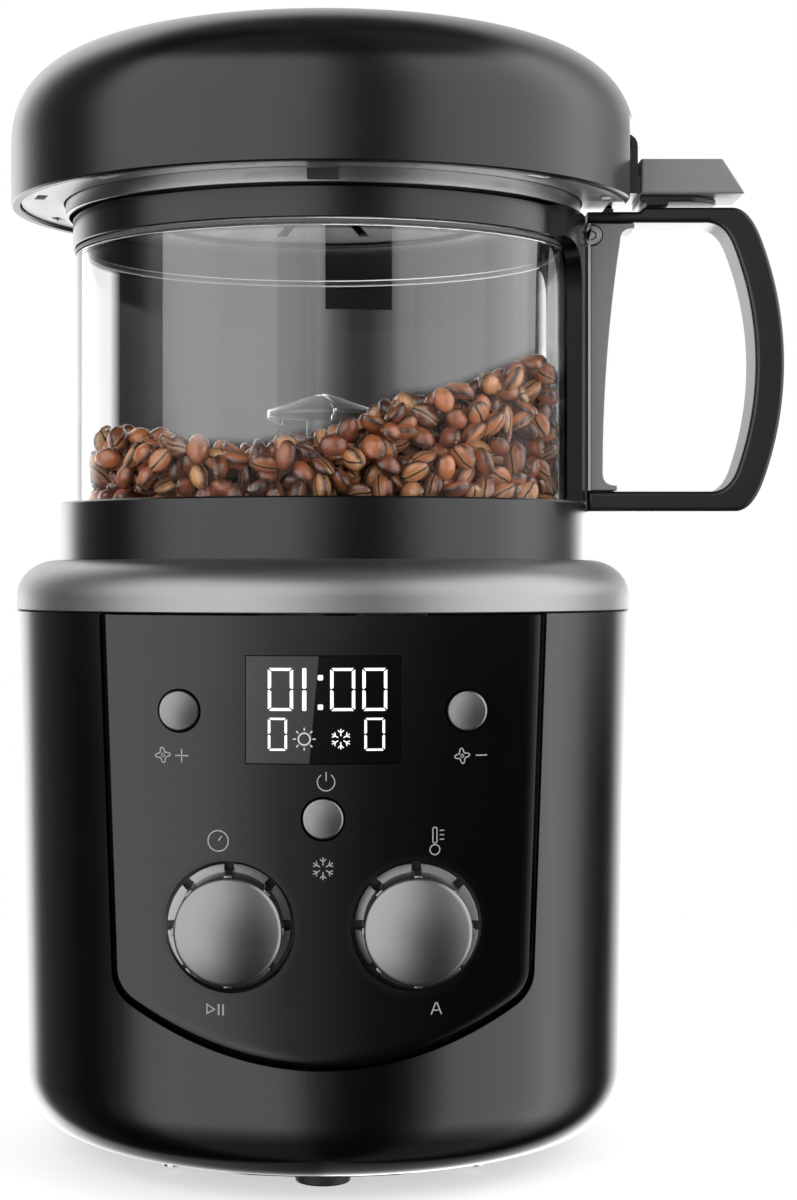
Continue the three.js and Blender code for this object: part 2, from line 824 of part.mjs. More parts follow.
function airDuct() {
  const low = coverTop + seatGap;
  const bend = low + ductStraight;
  return turned([
    [ductRadius, low],
    [ductRadius + ductWall, low],
    [ductRadius + ductWall, bend],
    [heaterRadius + ductWall, ductTop - ductWall],
    [heaterRadius + heaterWall + heaterFlange, ductTop - ductWall],
    [heaterRadius + heaterWall + heaterFlange, ductTop],
    [heaterRadius, ductTop],
    [heaterRadius, ductTop - ductWall],
    [ductRadius, bend],
  ], mediumSteps);
}

function motorCradle() {
  const inner = motorRadius + seatGap;
  const low = coverTop + seatGap;
  return turned([
    [inner, low],
    [inner + cradleWall, low],
    [inner + cradleWall, low + cradleLift + cradleRise],
    [inner, low + cradleLift + cradleRise],
    [inner, low + cradleLift + cradleFloor],
    [spindleRadius, low + cradleLift + cradleFloor],
    [spindleRadius, low + cradleLift],
    [inner, low + cradleLift],
  ], mediumSteps);
}

function fanMotor() {
  return turned([
    [0, motorBottom],
    [motorRadius, motorBottom],
    [motorRadius, motorTop],
    [spindleRadius + seatGap, motorTop],
    [spindleRadius + seatGap, motorTop - motorBore],
    [0, motorTop - motorBore],
  ], mediumSteps);
}

function motorShaft() {
  const top = motorTop + impellerLift + impellerHeight;
  return disc(spindleRadius, motorTop - motorBore + seatGap, top, smallSteps);
}

function fanImpeller() {
  const low = motorTop + impellerLift;
  const tip = ductRadius - impellerTipGap;
  const hub = ring(spindleRadius + seatGap, impellerHubRadius, low, low + impellerHeight, smallSteps);
  const half = impellerBladeThickness / 2;
  const reach = (impellerHeight * impellerBladeShare) / 2;
  const root = impellerHubRadius * impellerRootShare;
  const blade = block(root, tip, -half, half, -reach, reach);
  blade.rotateX(impellerPitch).translate(0, 0, low + impellerHeight / 2);
  const sweep = disc(tip, low, low + impellerHeight, mediumSteps);
  return common(joined(hub, ...arrayed(blade, impellerBladeCount)), sweep);
}

function bottomCover() {
  const plate = disc(coverRadius, coverBottom, coverTop);
  const half = intakeSlotWidth / 2;
  const slot = block(intakeInnerRadius, intakeOuterRadius, -half, half, 0, coverTop + cutOverrun);
  const hole = disc(screwShankRadius + seatGap, 0, coverTop + cutOverrun, fineSteps);
  hole.translate(screwRing, 0, 0);
  return cut(plate, ...arrayed(slot, intakeSlotCount), ...arrayed(hole, screwCount, screwStart));
}

function foot() {
  const edge = footHeight / 4;
  return turned([
    [0, 0],
    [footRadius - edge, 0],
    [footRadius, edge],
    [footRadius, footHeight],
    [0, footHeight],
  ], smallSteps);
}

function bottomScrew() {
  const headTop = coverBottom - seatGap / 2;
  return turned([
    [0, headTop - screwHeadHeight],
    [screwHeadRadius, headTop - screwHeadHeight],
    [screwHeadRadius, headTop],
    [screwShankRadius, headTop],
    [screwShankRadius, headTop + screwShankLength],
    [0, headTop + screwShankLength],
  ], fineSteps);
}

function powerBoard() {
  const half = powerBoardHalfWidth;
  const front = powerBoardBack - boardThickness;
  return block(-half, half, front, powerBoardBack, powerBoardBase, powerBoardBase + powerBoardHeight);
}

function cordGland() {
  const back = housingRadiusAt(glandHeight) + seatGap + glandFlangeThickness;
  const outline = [
    [glandBoreRadius, 0],
    [glandFlangeRadius, 0],
    [glandFlangeRadius, glandFlangeThickness],
    [glandBodyRadius, glandFlangeThickness],
    [glandBodyRadius, glandFlangeThickness + glandBodyLength],
    [glandBoreRadius, glandFlangeThickness + glandBodyLength],
  ];
  return alongY(turned(outline, smallSteps), 0, back, glandHeight);
}

function lowerCollar() {
  const inner = glassRadius + seatGap;
  const edge = ledgeHeight / 2;
  return turned([
    [ledgeRadius, collarBottom],
    [lowerCollarRadius - edge, collarBottom],
    [lowerCollarRadius, collarBottom + edge],
    [lowerCollarRadius, collarBottom + lowerCollarHeight - edge / 2],
    [lowerCollarRadius - edge / 2, collarBottom + lowerCollarHeight],
    [inner, collarBottom + lowerCollarHeight],
    [inner, ledgeTop],
    [ledgeRadius, ledgeTop],
  ]);
}

function glassCylinder() {
  return ring(glassRadius - glassWall, glassRadius, glassBottom, glassTop);
}

function lowerGlassSeal() {
  return ring(glassRadius - glassWall, glassRadius, ledgeTop + seatGap, glassBottom - seatGap, mediumSteps);
}

function upperGlassSeal() {
  const low = glassTop + seatGap;
  return ring(glassRadius - glassWall, glassRadius + seatGap, low, upperCollarBottom - seatGap, mediumSteps);
}

function chamberFloor() {
  const radius = glassRadius - glassWall - seatGap;
  const plate = disc(radius, ledgeTop + seatGap, ledgeTop + seatGap + floorThickness, mediumSteps);
  const half = floorSlotWidth / 2;
  const low = ledgeTop - cutOverrun;
  const slot = block(floorInnerRadius, floorOuterRadius, -half, half, low, glassBottom + cutOverrun);
  return cut(plate, ...arrayed(slot, floorSlotCount));
}

function airDeflector() {
  const low = ledgeTop + floorThickness + 2 * seatGap;
  const capLow = low + deflectorHeight - deflectorCone - deflectorRim;
  return turned([
    [0, low],
    [2 * deflectorStem, low],
    [deflectorStem, low + deflectorStem],
    [deflectorStem, capLow - deflectorRim],
    [deflectorRadius, capLow],
    [deflectorRadius, capLow + deflectorRim],
    [deflectorStem, low + deflectorHeight - deflectorRim / 2],
    [0, low + deflectorHeight],
  ], smallSteps);
}

// Upper collar with its pillar: the pillar widens in a concave flare where it meets the collar.
function upperCollar() {
  const foot = collarBottom + lowerCollarHeight + seatGap;
  const inner = glassRadius + runningGap;
  const flareLow = upperCollarBottom - pillarFlare;
  const outline = new THREE.Shape();
  outline.moveTo(-pillarHalfWidth, foot);
  outline.lineTo(pillarHalfWidth, foot);
  outline.lineTo(pillarHalfWidth, flareLow);
  outline.quadraticCurveTo(pillarHalfWidth, upperCollarBottom, pillarHeadHalfWidth, upperCollarBottom);
  outline.lineTo(pillarHeadHalfWidth, upperCollarTop);
  outline.lineTo(-pillarHeadHalfWidth, upperCollarTop);
  outline.lineTo(-pillarHeadHalfWidth, upperCollarBottom);
  outline.quadraticCurveTo(-pillarHalfWidth, upperCollarBottom, -pillarHalfWidth, flareLow);
  const wall = ring(inner, pillarRadius, foot, upperCollarTop);
  const strip = common(wall, bar(outline, 0, pillarRadius + cutOverrun));
  const edge = ledgeHeight / 4;
  const collar = turned([
    [glassRadius - glassWall, upperCollarBottom],
    [upperCollarRadius, upperCollarBottom],
    [upperCollarRadius, upperCollarTop - edge],
    [upperCollarRadius - edge, upperCollarTop],
    [glassRadius - glassWall, upperCollarTop],
  ]);
  return joined(collar, strip);
}

const gripCenter = [handleReach - gripRadius, (handleTop + handleBottom) / 2 - gripMidDrop];

function gripPoint(radius, level) {
  return gripCenter[0] + Math.sqrt(radius ** 2 - (level - gripCenter[1]) ** 2);
}

function gripArc(shape, radius, from, to) {
  const start = Math.asin((from - gripCenter[1]) / radius);
  const end = Math.asin((to - gripCenter[1]) / radius);
  shape.absarc(gripCenter[0], gripCenter[1], radius, start, end, end < start);
}

const handleStart = pillarRadius + seatGap;
const handleScrewReach = handleStart + handleScrewInset;
const handleScrewLevel = handleTop - handleScrewDrop;
const postHeight = (bracketBottom - handleTop) / 3;

function handleShell() {
  const outerTop = handleTop - cornerDrop;
  const outerLow = handleBottom + cornerDrop;
  const inner = gripRadius - gripThickness;
  const barLow = handleTop - topBarThickness;
  const barHigh = handleBottom + bottomBarThickness;
  const innerTop = barLow - innerCornerDrop;
  const innerLow = barHigh + innerCornerDrop;
  const topReach = gripPoint(gripRadius, outerTop);
  const lowReach = gripPoint(gripRadius, outerLow);
  const innerTopReach = gripPoint(inner, innerTop);
  const innerLowReach = gripPoint(inner, innerLow);
  const shape = new THREE.Shape();
  shape.moveTo(handleStart, handleTop - underLidDrop);
  shape.lineTo(bracketStart, handleTop - underLidDrop);
  shape.lineTo(bracketStart + underLidDrop, handleTop);
  shape.lineTo(topReach - cornerRun, handleTop);
  shape.quadraticCurveTo(topReach - cornerLean, handleTop, topReach, outerTop);
  gripArc(shape, gripRadius, outerTop, outerLow);
  shape.quadraticCurveTo(lowReach - cornerLean, handleBottom, lowReach - cornerRun, handleBottom);
  shape.lineTo(handleStart, handleBottom);
  shape.lineTo(handleStart, barHigh);
  shape.lineTo(innerLowReach - innerCornerRun, barHigh);
  shape.quadraticCurveTo(innerLowReach - cornerLean, barHigh, innerLowReach, innerLow);
  gripArc(shape, inner, innerLow, innerTop);
  shape.quadraticCurveTo(innerTopReach - cornerLean, barLow, innerTopReach - innerCornerRun, barLow);
  shape.lineTo(handleStart, barLow);
  return slab(shape, -handleHalfWidth, handleHalfWidth, handleEdge);
}

function handleSpine() {
  const high = handleTop - topBarThickness - seatGap;
  const low = handleBottom + bottomBarThickness + seatGap;
  const tip = high - spineFlareTip;
  const shape = new THREE.Shape();
  shape.moveTo(handleStart, low);
  shape.lineTo(spineLowReach + spineFlare, low);
  shape.lineTo(spineLowReach + spineFlare, low + spineFlareTip);
  shape.quadraticCurveTo(spineLowReach, low + spineFlareTip, spineLowReach, low + spineFlareRise);
  shape.quadraticCurveTo(spineLowReach, (low + high) / 2, spineTopReach, high - spineFlareRise);
  shape.quadraticCurveTo(spineTopReach, tip, spineTopReach + spineFlare, tip);
  shape.lineTo(spineTopReach + spineFlare, high);
  shape.lineTo(handleStart, high);
  const body = slab(shape, -handleHalfWidth, handleHalfWidth, spineEdge);
  const front = -handleHalfWidth - cutOverrun;
  const hole = rod(handleScrewRadius + seatGap, handleScrewReach, handleScrewLevel, front, 0);
  return cut(body, hole);
}

function handleScrew() {
  const x = handleScrewReach;
  const z = handleScrewLevel;
  const body = rod(handleScrewRadius, x, z, -handleHalfWidth - seatGap, -seatGap);
  const socketFloor = screwSocketDepth - handleHalfWidth;
  const socket = rod(screwSocketRadius, x, z, -handleHalfWidth - cutOverrun, socketFloor, socketSides);
  const clear = disc(handleStart, z - handleScrewDrop, z + handleScrewDrop, largeSteps);
  return cut(body, socket, clear);
}

function hingeBracket() {
  const shape = shapeOf([
    [bracketStart, bracketBottom],
    [bracketLowReach, bracketBottom],
    [bracketTopReach, bracketTop],
    [bracketStart, bracketTop],
  ]);
  return slab(shape, -bracketHalfWidth, bracketHalfWidth, spineEdge);
}

function bracketUnderplate() {
  const low = handleTop + seatGap;
  const plateLow = low + postHeight;
  const half = bracketHalfWidth - plateInset;
  const plateHigh = bracketBottom - seatGap;
  const plate = block(bracketStart, plateReach - half, -half, half, plateLow, plateHigh);
  const end = disc(half, plateLow, plateHigh, smallSteps).translate(plateReach - half, 0, 0);
  const post = block(postStart, postStart + postWidth, -half, half, low, plateLow + seatGap);
  return joined(plate, end, post);
}

function hingeYoke() {
  const back = bracketStart - seatGap;
  const outer = bracketHalfWidth;
  const web = block(yokeStart, back, -outer, outer, bracketBottom, bracketBottom + yokeWeb);
  const inner = knuckleHalfWidth + knuckleGap;
  const ears = [-1, 1].map((side) => {
    const y0 = side > 0 ? inner : -outer;
    const y1 = side > 0 ? outer : -inner;
    return joined(
      rod(knuckleRadius, hingeReach, hingeLevel, y0, y1),
      block(hingeReach - knuckleRadius, hingeReach + knuckleRadius, y0, y1, bracketBottom, hingeLevel),
    );
  });
  const bore = rod(pinRadius + seatGap, hingeReach, hingeLevel, -2 * outer, 2 * outer, fineSteps);
  return cut(joined(web, ...ears), bore);
}

function hingePin() {
  const half = bracketHalfWidth - seatGap;
  return rod(pinRadius, hingeReach, hingeLevel, -half, half, fineSteps);
}

// Flat that is cut from the lid's skirt on the hinge side
function lidSideCut() {
  const end = lidRadius + cutOverrun;
  const half = lidRadius / 2;
  return block(lidRadius - lidFlatInset, end, -half, half, lidRim - cutOverrun, lidRim + lidFlatHeight);
}

function lidShell() {
  const foot = lidRim + lidShoulderRise;
  const center = lidRadius - lidShoulderRun;
  const run = lidShoulderRun;
  const rise = lidShoulderHeight;
  const power = lidShoulderPower;
  const outer = shoulder(center, foot, run, rise, power);
  const inner = shoulder(center, foot, run - lidWall, rise - lidWall, power, innerArcSteps);
  const shell = turned([
    [0, lidTop - lidWall],
    ...inner.reverse(),
    [lidRadius - lidWall, lidRim],
    [lidRadius, lidRim],
    ...outer,
    [center / 2, lidTop - lidCrown / 4],
    [0, lidTop],
  ]);
  const ribLow = lidRim + underplateLift + underplateThickness + seatGap;
  const skin = lidWall / 2;
  const middle = shoulder(center, foot, run - skin, rise - skin, power);
  const hollow = turned([[0, lidRim], [lidRadius - skin, lidRim], ...middle, [0, foot + rise - skin]]);
  const rib = common(ring(ribRadius, ribRadius + ribWall, ribLow, lidTop), hollow);
  const half = ribWindowWidth / 2;
  const windowLow = ribLow + ribLandHeight;
  const windowStart = ribRadius - ribWall;
  const windowEnd = ribRadius + 2 * ribWall;
  const ribWindow = block(windowStart, windowEnd, -half, half, windowLow, windowLow + ribWindowHeight);
  const windows = arrayed(ribWindow, ribWindowCount, Math.PI / ribWindowCount);
  const notchHalf = bracketHalfWidth + notchGap;
  const notchStart = yokeStart - notchGap;
  const notchEnd = lidRadius + cutOverrun;
  const notchTop = hingeLevel + knuckleRadius + 2 * notchGap;
  const notch = block(notchStart, notchEnd, -notchHalf, notchHalf, lidRim - cutOverrun, notchTop);
  const side = lidSideCut();
  const lugHalf = knuckleHalfWidth;
  const lugTop = notchTop + 2 * notchGap;
  const lug = joined(
    rod(knuckleRadius, hingeReach, hingeLevel, -lugHalf, lugHalf),
    block(hingeReach - knuckleRadius, hingeReach, -lugHalf, lugHalf, hingeLevel, lugTop),
  );
  const boreHalf = bracketHalfWidth;
  const bore = rod(pinRadius + seatGap, hingeReach, hingeLevel, -boreHalf, boreHalf, fineSteps);
  return cut(joined(cut(joined(shell, cut(rib, ...windows)), notch, side), lug), bore);
}

function lidUnderplate() {
  const low = lidRim + underplateLift;
  const plate = ring(underplateBore, underplateRadius, low, low + underplateThickness);
  const notchHalf = bracketHalfWidth + notchGap;
  const notch = block(yokeStart - notchGap, lidRadius, -notchHalf, notchHalf, 0, lidTop);
  const middle = (ribRadius + ribWall + underplateRadius) / 2;
  const half = ventWidth / 2;
  const vent = block(middle - half, middle + half, -ventLength / 2, ventLength / 2, 0, lidTop);
  return cut(plate, notch, lidSideCut(), ...arrayed(vent, ventCount, Math.PI / ventCount));
}

function lidLiner() {
  const low = upperCollarTop + seatGap;
  const high = low + linerHeight;
  const wall = linerRadius - linerWall;
  const lug = lidRim + underplateLift + underplateThickness + 2 * seatGap;
  return turned([
    [wall, low],
    [linerRadius, low],
    [linerRadius, lug],
    [linerRadius + linerLug, lug],
    [linerRadius + linerLug, lug + linerLugHeight],
    [linerRadius, lug + linerLugHeight],
    [linerRadius, high],
    [linerShelf, high],
    [linerShelf, high - linerWall],
    [wall, high - linerWall],
  ], mediumSteps);
}

function filterFlange() {
  const low = upperCollarTop - flangeDip;
  const high = upperCollarTop + seatGap + linerHeight - linerWall - seatGap;
  return turned([
    [flangeBore, low],
    [flangeRadius, low],
    [flangeRadius, high],
    [flangeRadius - flangeWall, high],
    [flangeRadius - flangeWall, low + flangeThickness],
    [flangeBore, low + flangeThickness],
  ], mediumSteps);
}

// Chaff filter: a shallow dished strainer that sits on the flange.
function chaffFilter() {
  const low = upperCollarTop - flangeDip + flangeThickness + seatGap;
  const edge = flangeRadius - flangeWall - seatGap;
  const flat = flangeBore - 2 * filterThickness;
  const dish = turned([
    [0, low + filterRise],
    [flat / 2, low + filterRise],
    [flat, low],
    [edge, low],
    [edge, low + filterThickness],
    [flat, low + filterThickness],
    [flat / 2, low + filterRise + filterThickness],
    [0, low + filterRise + filterThickness],
  ], mediumSteps);
  const half = filterHoleWidth / 2;
  const slot = block(filterHoleStart, filterHoleStart + filterHoleLength, -half, half, 0, lidTop);
  return cut(dish, ...arrayed(slot, filterHoleCount));
}

function lidCatch() {
  const back = -linerRadius - seatGap;
  const low = upperCollarTop + seatGap + catchLift;
  const half = catchWidth / 2;
  return block(-half, half, back - catchThickness, back, low, low + catchHeight);
}

// Assembly: jar and lid hang in nested groups so that each can be lifted off as a whole.
const base = new THREE.Group();
base.add(
  mesh("base_housing", baseHousing(), ...black),
  mesh("control_fascia", controlFascia(), ...glossBlack),
  mesh("display_window", displayWindow(), ...glossBlack),
  mesh("display_module", displayModule(), ...rubber),
  mesh("control_board", controlBoard(), ...boardGreen),
  mesh("top_ring", topRing(), ...silver),
  mesh("jar_seat", jarSeat(), ...black),
  mesh("air_grille", airGrille(), ...steel),
  mesh("heater_tube", heaterTube(), ...steel),
  mesh("heater_frame", heaterFrame(), ...mica),
  mesh("heater_winding", heaterWinding(), ...heaterWire),
  mesh("air_duct", airDuct(), ...black),
  mesh("motor_cradle", motorCradle(), ...black),
  mesh("fan_motor", fanMotor(), ...steel),
  mesh("motor_shaft", motorShaft(), ...steel),
  mesh("fan_impeller", fanImpeller(), ...rubber),
  mesh("bottom_cover", bottomCover(), ...black),
  mesh("power_board", powerBoard(), ...boardGreen),
  mesh("cord_gland", cordGland(), ...rubber),
);
["right", "back", "left", "front"].forEach((side, i) => {
  const piece = mesh(`foot_${side}`, foot(), ...rubber);
  const angle = (i * Math.PI) / 2;
  piece.position.set(footRing * Math.cos(angle), footRing * Math.sin(angle), 0);
  base.add(piece);
});
for (let i = 0; i < screwCount; i += 1) {
  const piece = mesh(`bottom_screw_${i + 1}`, bottomScrew(), ...steel);
  const angle = screwStart + (i * 2 * Math.PI) / screwCount;
  piece.position.set(screwRing * Math.cos(angle), screwRing * Math.sin(angle), 0);
  base.add(piece);
}
for (const [name, x, z] of buttonPlaces) base.add(mesh(name, pushButton(x, z), ...silver));
for (const [name, x] of knobPlaces) {
  base.add(
    mesh(`${name}_rim`, knobRim(x), ...steel),
    mesh(`${name}_cap`, knobCap(x), ...silver),
    mesh(`${name}_shaft`, knobShaft(x), ...steel),
    mesh(`${name}_sleeve`, knobSleeve(x), ...rubber),
    mesh(`${name}_encoder`, encoderBody(x), ...steel),
  );
}

const jar = new THREE.Group();
jar.add(
  mesh("lower_collar", lowerCollar(), ...black),
  mesh("upper_collar", upperCollar(), ...black),
  mesh("glass_cylinder", glassCylinder(), ...glass),
  mesh("lower_glass_seal", lowerGlassSeal(), ...rubber),
  mesh("upper_glass_seal", upperGlassSeal(), ...paleSilicone),
  mesh("chamber_floor", chamberFloor(), ...steel),
  mesh("air_deflector", airDeflector(), ...steel),
  mesh("handle_shell", handleShell(), ...black),
  mesh("handle_spine", handleSpine(), ...grey),
  mesh("handle_screw", handleScrew(), ...steel),
  mesh("hinge_bracket", hingeBracket(), ...grey),
  mesh("bracket_underplate", bracketUnderplate(), ...black),
  mesh("hinge_yoke", hingeYoke(), ...black),
  mesh("hinge_pin", hingePin(), ...steel),
);

const lid = new THREE.Group();
lid.add(
  mesh("lid_shell", lidShell(), ...black),
  mesh("lid_underplate", lidUnderplate(), ...silver),
  mesh("lid_liner", lidLiner(), ...silver),
  mesh("filter_flange", filterFlange(), ...silver),
  mesh("chaff_filter", chaffFilter(), ...steel),
  mesh("lid_catch", lidCatch(), ...steel),
);
jar.add(lid);

const roaster = new THREE.Group();
roaster.add(base, jar);

// The origin is the middle of the footprint of the whole, on the surface it stands on.
const extent = new THREE.Box3().setFromObject(roaster);
roaster.position.set(-(extent.min.x + extent.max.x) / 2, -(extent.min.y + extent.max.y) / 2, 0);

export default roaster;
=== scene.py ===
import json
import math

import bmesh
import bpy
import numpy
from mathutils import Matrix, Quaternion, Vector


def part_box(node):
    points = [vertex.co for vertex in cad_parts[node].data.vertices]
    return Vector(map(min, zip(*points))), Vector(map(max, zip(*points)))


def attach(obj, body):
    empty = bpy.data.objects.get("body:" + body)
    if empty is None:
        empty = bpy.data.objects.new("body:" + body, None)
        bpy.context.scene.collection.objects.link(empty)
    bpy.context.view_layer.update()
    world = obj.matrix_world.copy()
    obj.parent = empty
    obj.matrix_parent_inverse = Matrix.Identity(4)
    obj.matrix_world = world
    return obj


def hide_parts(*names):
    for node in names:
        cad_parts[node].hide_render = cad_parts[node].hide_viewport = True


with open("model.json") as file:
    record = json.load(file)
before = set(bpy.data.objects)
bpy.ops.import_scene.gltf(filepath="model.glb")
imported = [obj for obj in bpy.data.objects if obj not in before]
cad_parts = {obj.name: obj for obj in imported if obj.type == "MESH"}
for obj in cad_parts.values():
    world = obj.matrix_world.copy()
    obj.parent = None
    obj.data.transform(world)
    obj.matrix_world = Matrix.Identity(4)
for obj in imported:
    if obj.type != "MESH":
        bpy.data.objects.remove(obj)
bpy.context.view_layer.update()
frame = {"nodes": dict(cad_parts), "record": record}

# Shapes are drawn in millimetres round the jar's upright axis, then put in the shared frame.
glassLow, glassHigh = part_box("glass_cylinder")
axisX = (glassLow[0] + glassHigh[0]) / 2
axisY = (glassLow[1] + glassHigh[1]) / 2
mm = 0.001
scene = bpy.context.scene

# Points closer than weld become one, and cutters reach out to far. Large, medium and small round pieces have
# so many steps.
weld, carveWeld, copyWeld, far = 0.0005, 0.0008, 0.000002, 100
large, medium, small = 256, 192, 96
print("frame loaded, jar axis at", round(axisX, 5), round(axisY, 5))


# Shape helpers

def shoulder(center, foot, run, rise, power, steps=28):
    points = []
    for i in range(steps + 1):
        turn = i / steps * math.pi / 2
        out = 0 if i == steps else math.cos(turn) ** (2 / power)
        points.append((center + run * out, foot + rise * math.sin(turn) ** (2 / power)))
    return points


def curve(start, control, end, steps=14):
    points = []
    for i in range(1, steps + 1):
        t = i / steps
        points.append(tuple((1 - t) ** 2 * a + 2 * t * (1 - t) * b + t * t * c
                            for a, b, c in zip(start, control, end)))
    return points


def line(start, end, steps):
    return [tuple(a + (b - a) * i / steps for a, b in zip(start, end)) for i in range(1, steps + 1)]


def arc(center, radius, start, end, steps):
    points = []
    for i in range(steps + 1):
        turn = start + (end - start) * i / steps
        points.append((center[0] + radius * math.cos(turn), center[1] + radius * math.sin(turn)))
    return points


def box(left, right, low, high):
    return [(left, low), (right, low), (right, high), (left, high)]


def circle(x, z, radius, sides):
    return [(x + radius * math.sin(i * 2 * math.pi / sides), z + radius * math.cos(i * 2 * math.pi / sides))
            for i in range(sides)]


def asMesh(bm, name="part"):
    mesh = bpy.data.meshes.new(name)
    bm.to_mesh(mesh)
    bm.free()
    return mesh


def tidied(bm, distance=weld):
    bmesh.ops.remove_doubles(bm, verts=bm.verts, dist=distance)
    bmesh.ops.recalc_face_normals(bm, faces=bm.faces)
    return bm


def sharpEdges(bm, degrees):
    limit = math.radians(degrees)
    return [e for e in bm.edges if len(e.link_faces) == 2 and e.calc_face_angle(0) > limit]


def roundOff(bm, width, segments=2, degrees=28, edges=None):
    chosen = sharpEdges(bm, degrees) if edges is None else edges
    if chosen:
        bmesh.ops.bevel(bm, geom=chosen, offset=width, offset_type="OFFSET", segments=segments,
                        profile=0.5, affect="EDGES", clamp_overlap=True, material=-1)


def turned(outline, steps=medium, edge=0, segments=2):
    bm = bmesh.new()
    verts = [bm.verts.new((r, 0, z)) for r, z in outline]
    pairs = list(zip(verts, verts[1:]))
    if outline[0][0] > 0 or outline[-1][0] > 0:
        pairs.append((verts[-1], verts[0]))
    edges = [bm.edges.new(p) for p in pairs]
    bmesh.ops.spin(bm, geom=verts + edges, cent=(0, 0, 0), axis=(0, 0, 1), angle=2 * math.pi,
                   steps=steps, use_merge=True)
    tidied(bm)
    if edge:
        roundOff(bm, edge, segments)
    return bm


def sector(outline, middle, half, steps):
    bm = bmesh.new()
    start = math.radians(middle - half)
    verts = [bm.verts.new((r * math.cos(start), r * math.sin(start), z)) for r, z in outline]
    face = bm.faces.new(verts)
    bmesh.ops.spin(bm, geom=[face] + verts + list(bm.edges), cent=(0, 0, 0), axis=(0, 0, 1),
                   angle=math.radians(2 * half), steps=steps, use_merge=False)
    return tidied(bm)


def extruded(bm, faces, shift):
    made = bmesh.ops.extrude_face_region(bm, geom=faces)
    bmesh.ops.translate(bm, vec=shift, verts=[g for g in made["geom"] if isinstance(g, bmesh.types.BMVert)])


def prism(points, direction, low, high):
    bm = bmesh.new()
    place = {
        "x": lambda a, b: (low, a, b),
        "y": lambda a, b: (a, low, b),
        "z": lambda a, b: (a, b, low),
    }[direction]
    face = bm.faces.new([bm.verts.new(place(a, b)) for a, b in points])
    extruded(bm, [face], {"x": (high - low, 0, 0), "y": (0, high - low, 0), "z": (0, 0, high - low)}[direction])
    bmesh.ops.recalc_face_normals(bm, faces=bm.faces)
    return bm


def slab(points, half, edge, segments=3):
    bm = prism(points, "y", -half, half)
    rims = [e for e in bm.edges if abs(e.verts[0].co.y - e.verts[1].co.y) < 1e-6]
    bmesh.ops.bevel(bm, geom=rims, offset=edge, offset_type="OFFSET", segments=segments, profile=0.5,
                    affect="EDGES", clamp_overlap=False, material=-1)
    return bm


def split(bm, point, normal):
    bmesh.ops.bisect_plane(bm, geom=list(bm.verts) + list(bm.edges) + list(bm.faces), plane_co=point,
                           plane_no=normal)


def block(x0, x1, y0, y1, z0, z1):
    return prism(box(x0, x1, y0, y1), "z", z0, z1)


def rod(radius, x, z, y0, y1, sides=small):
    return prism(circle(x, z, radius, sides), "y", y0, y1)


def together(*parts):
    bm = bmesh.new()
    for part in parts:
        mesh = asMesh(part)
        bm.from_mesh(mesh)
        bpy.data.meshes.remove(mesh)
    return bm


def arrayed(part, count, start=0.0):
    mesh = asMesh(part)
    bm = bmesh.new()
    for i in range(count):
        first = len(bm.verts)
        bm.from_mesh(mesh)
        bm.verts.ensure_lookup_table()
        bmesh.ops.rotate(bm, cent=(0, 0, 0), matrix=Matrix.Rotation(start + i * 2 * math.pi / count, 3, "Z"),
                         verts=bm.verts[first:])
    bpy.data.meshes.remove(mesh)
    return bm


def carved(bm, other, operation="DIFFERENCE"):
    objects = []
    for part in (bm, other):
        holder = bpy.data.objects.new("carving", asMesh(part))
        scene.collection.objects.link(holder)
        objects.append(holder)
    target, cutter = objects
    modifier = target.modifiers.new("carve", "BOOLEAN")
    modifier.operation = operation
    modifier.solver = "EXACT"
    modifier.object = cutter
    result = bpy.data.meshes.new_from_object(target.evaluated_get(bpy.context.evaluated_depsgraph_get()))
    made = bmesh.new()
    made.from_mesh(result)
    for holder in objects:
        mesh = holder.data
        bpy.data.objects.remove(holder)
        bpy.data.meshes.remove(mesh)
    bpy.data.meshes.remove(result)
    bmesh.ops.remove_doubles(made, verts=made.verts, dist=carveWeld)
    bmesh.ops.dissolve_degenerate(made, edges=made.edges, dist=carveWeld)
    return made


def addPiece(name, bm, body, material, replaced=(), smooth=32, flatten=False, placed=False):
    if not placed:
        bmesh.ops.scale(bm, vec=(mm, mm, mm), verts=bm.verts)
        bmesh.ops.translate(bm, vec=(axisX, axisY, 0), verts=bm.verts)
    mesh = asMesh(bm, name)
    mesh.shade_smooth()
    mesh.set_sharp_from_angle(angle=math.radians(smooth))
    mesh.materials.append(material)
    piece = bpy.data.objects.new(name, mesh)
    scene.collection.objects.link(piece)
    if flatten:
        weighted = piece.modifiers.new("flat faces", "WEIGHTED_NORMAL")
        weighted.keep_sharp = True
    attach(piece, body)
    if replaced:
        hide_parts(*replaced)
    return piece


# A second material where a face's middle, in millimetres round the axis, and its normal pass a test
def useSecond(piece, material, passes):
    piece.data.materials.append(material)
    for polygon in piece.data.polygons:
        if passes((polygon.center - Vector((axisX, axisY, 0))) / mm, polygon.normal):
            polygon.material_index = 1


# A merged copy of a CAD node with its edges rounded off
def softCopy(name, body, width, material):
    source = frame["nodes"][name]
    bm = bmesh.new()
    bm.from_mesh(source.data)
    bm.transform(source.matrix_world)
    bmesh.ops.remove_doubles(bm, verts=bm.verts, dist=copyWeld)
    bmesh.ops.dissolve_limit(bm, angle_limit=math.radians(1), verts=bm.verts, edges=bm.edges)
    roundOff(bm, width * mm)
    addPiece(name + "_finished", bm, body, material, [name], flatten=True, placed=True)


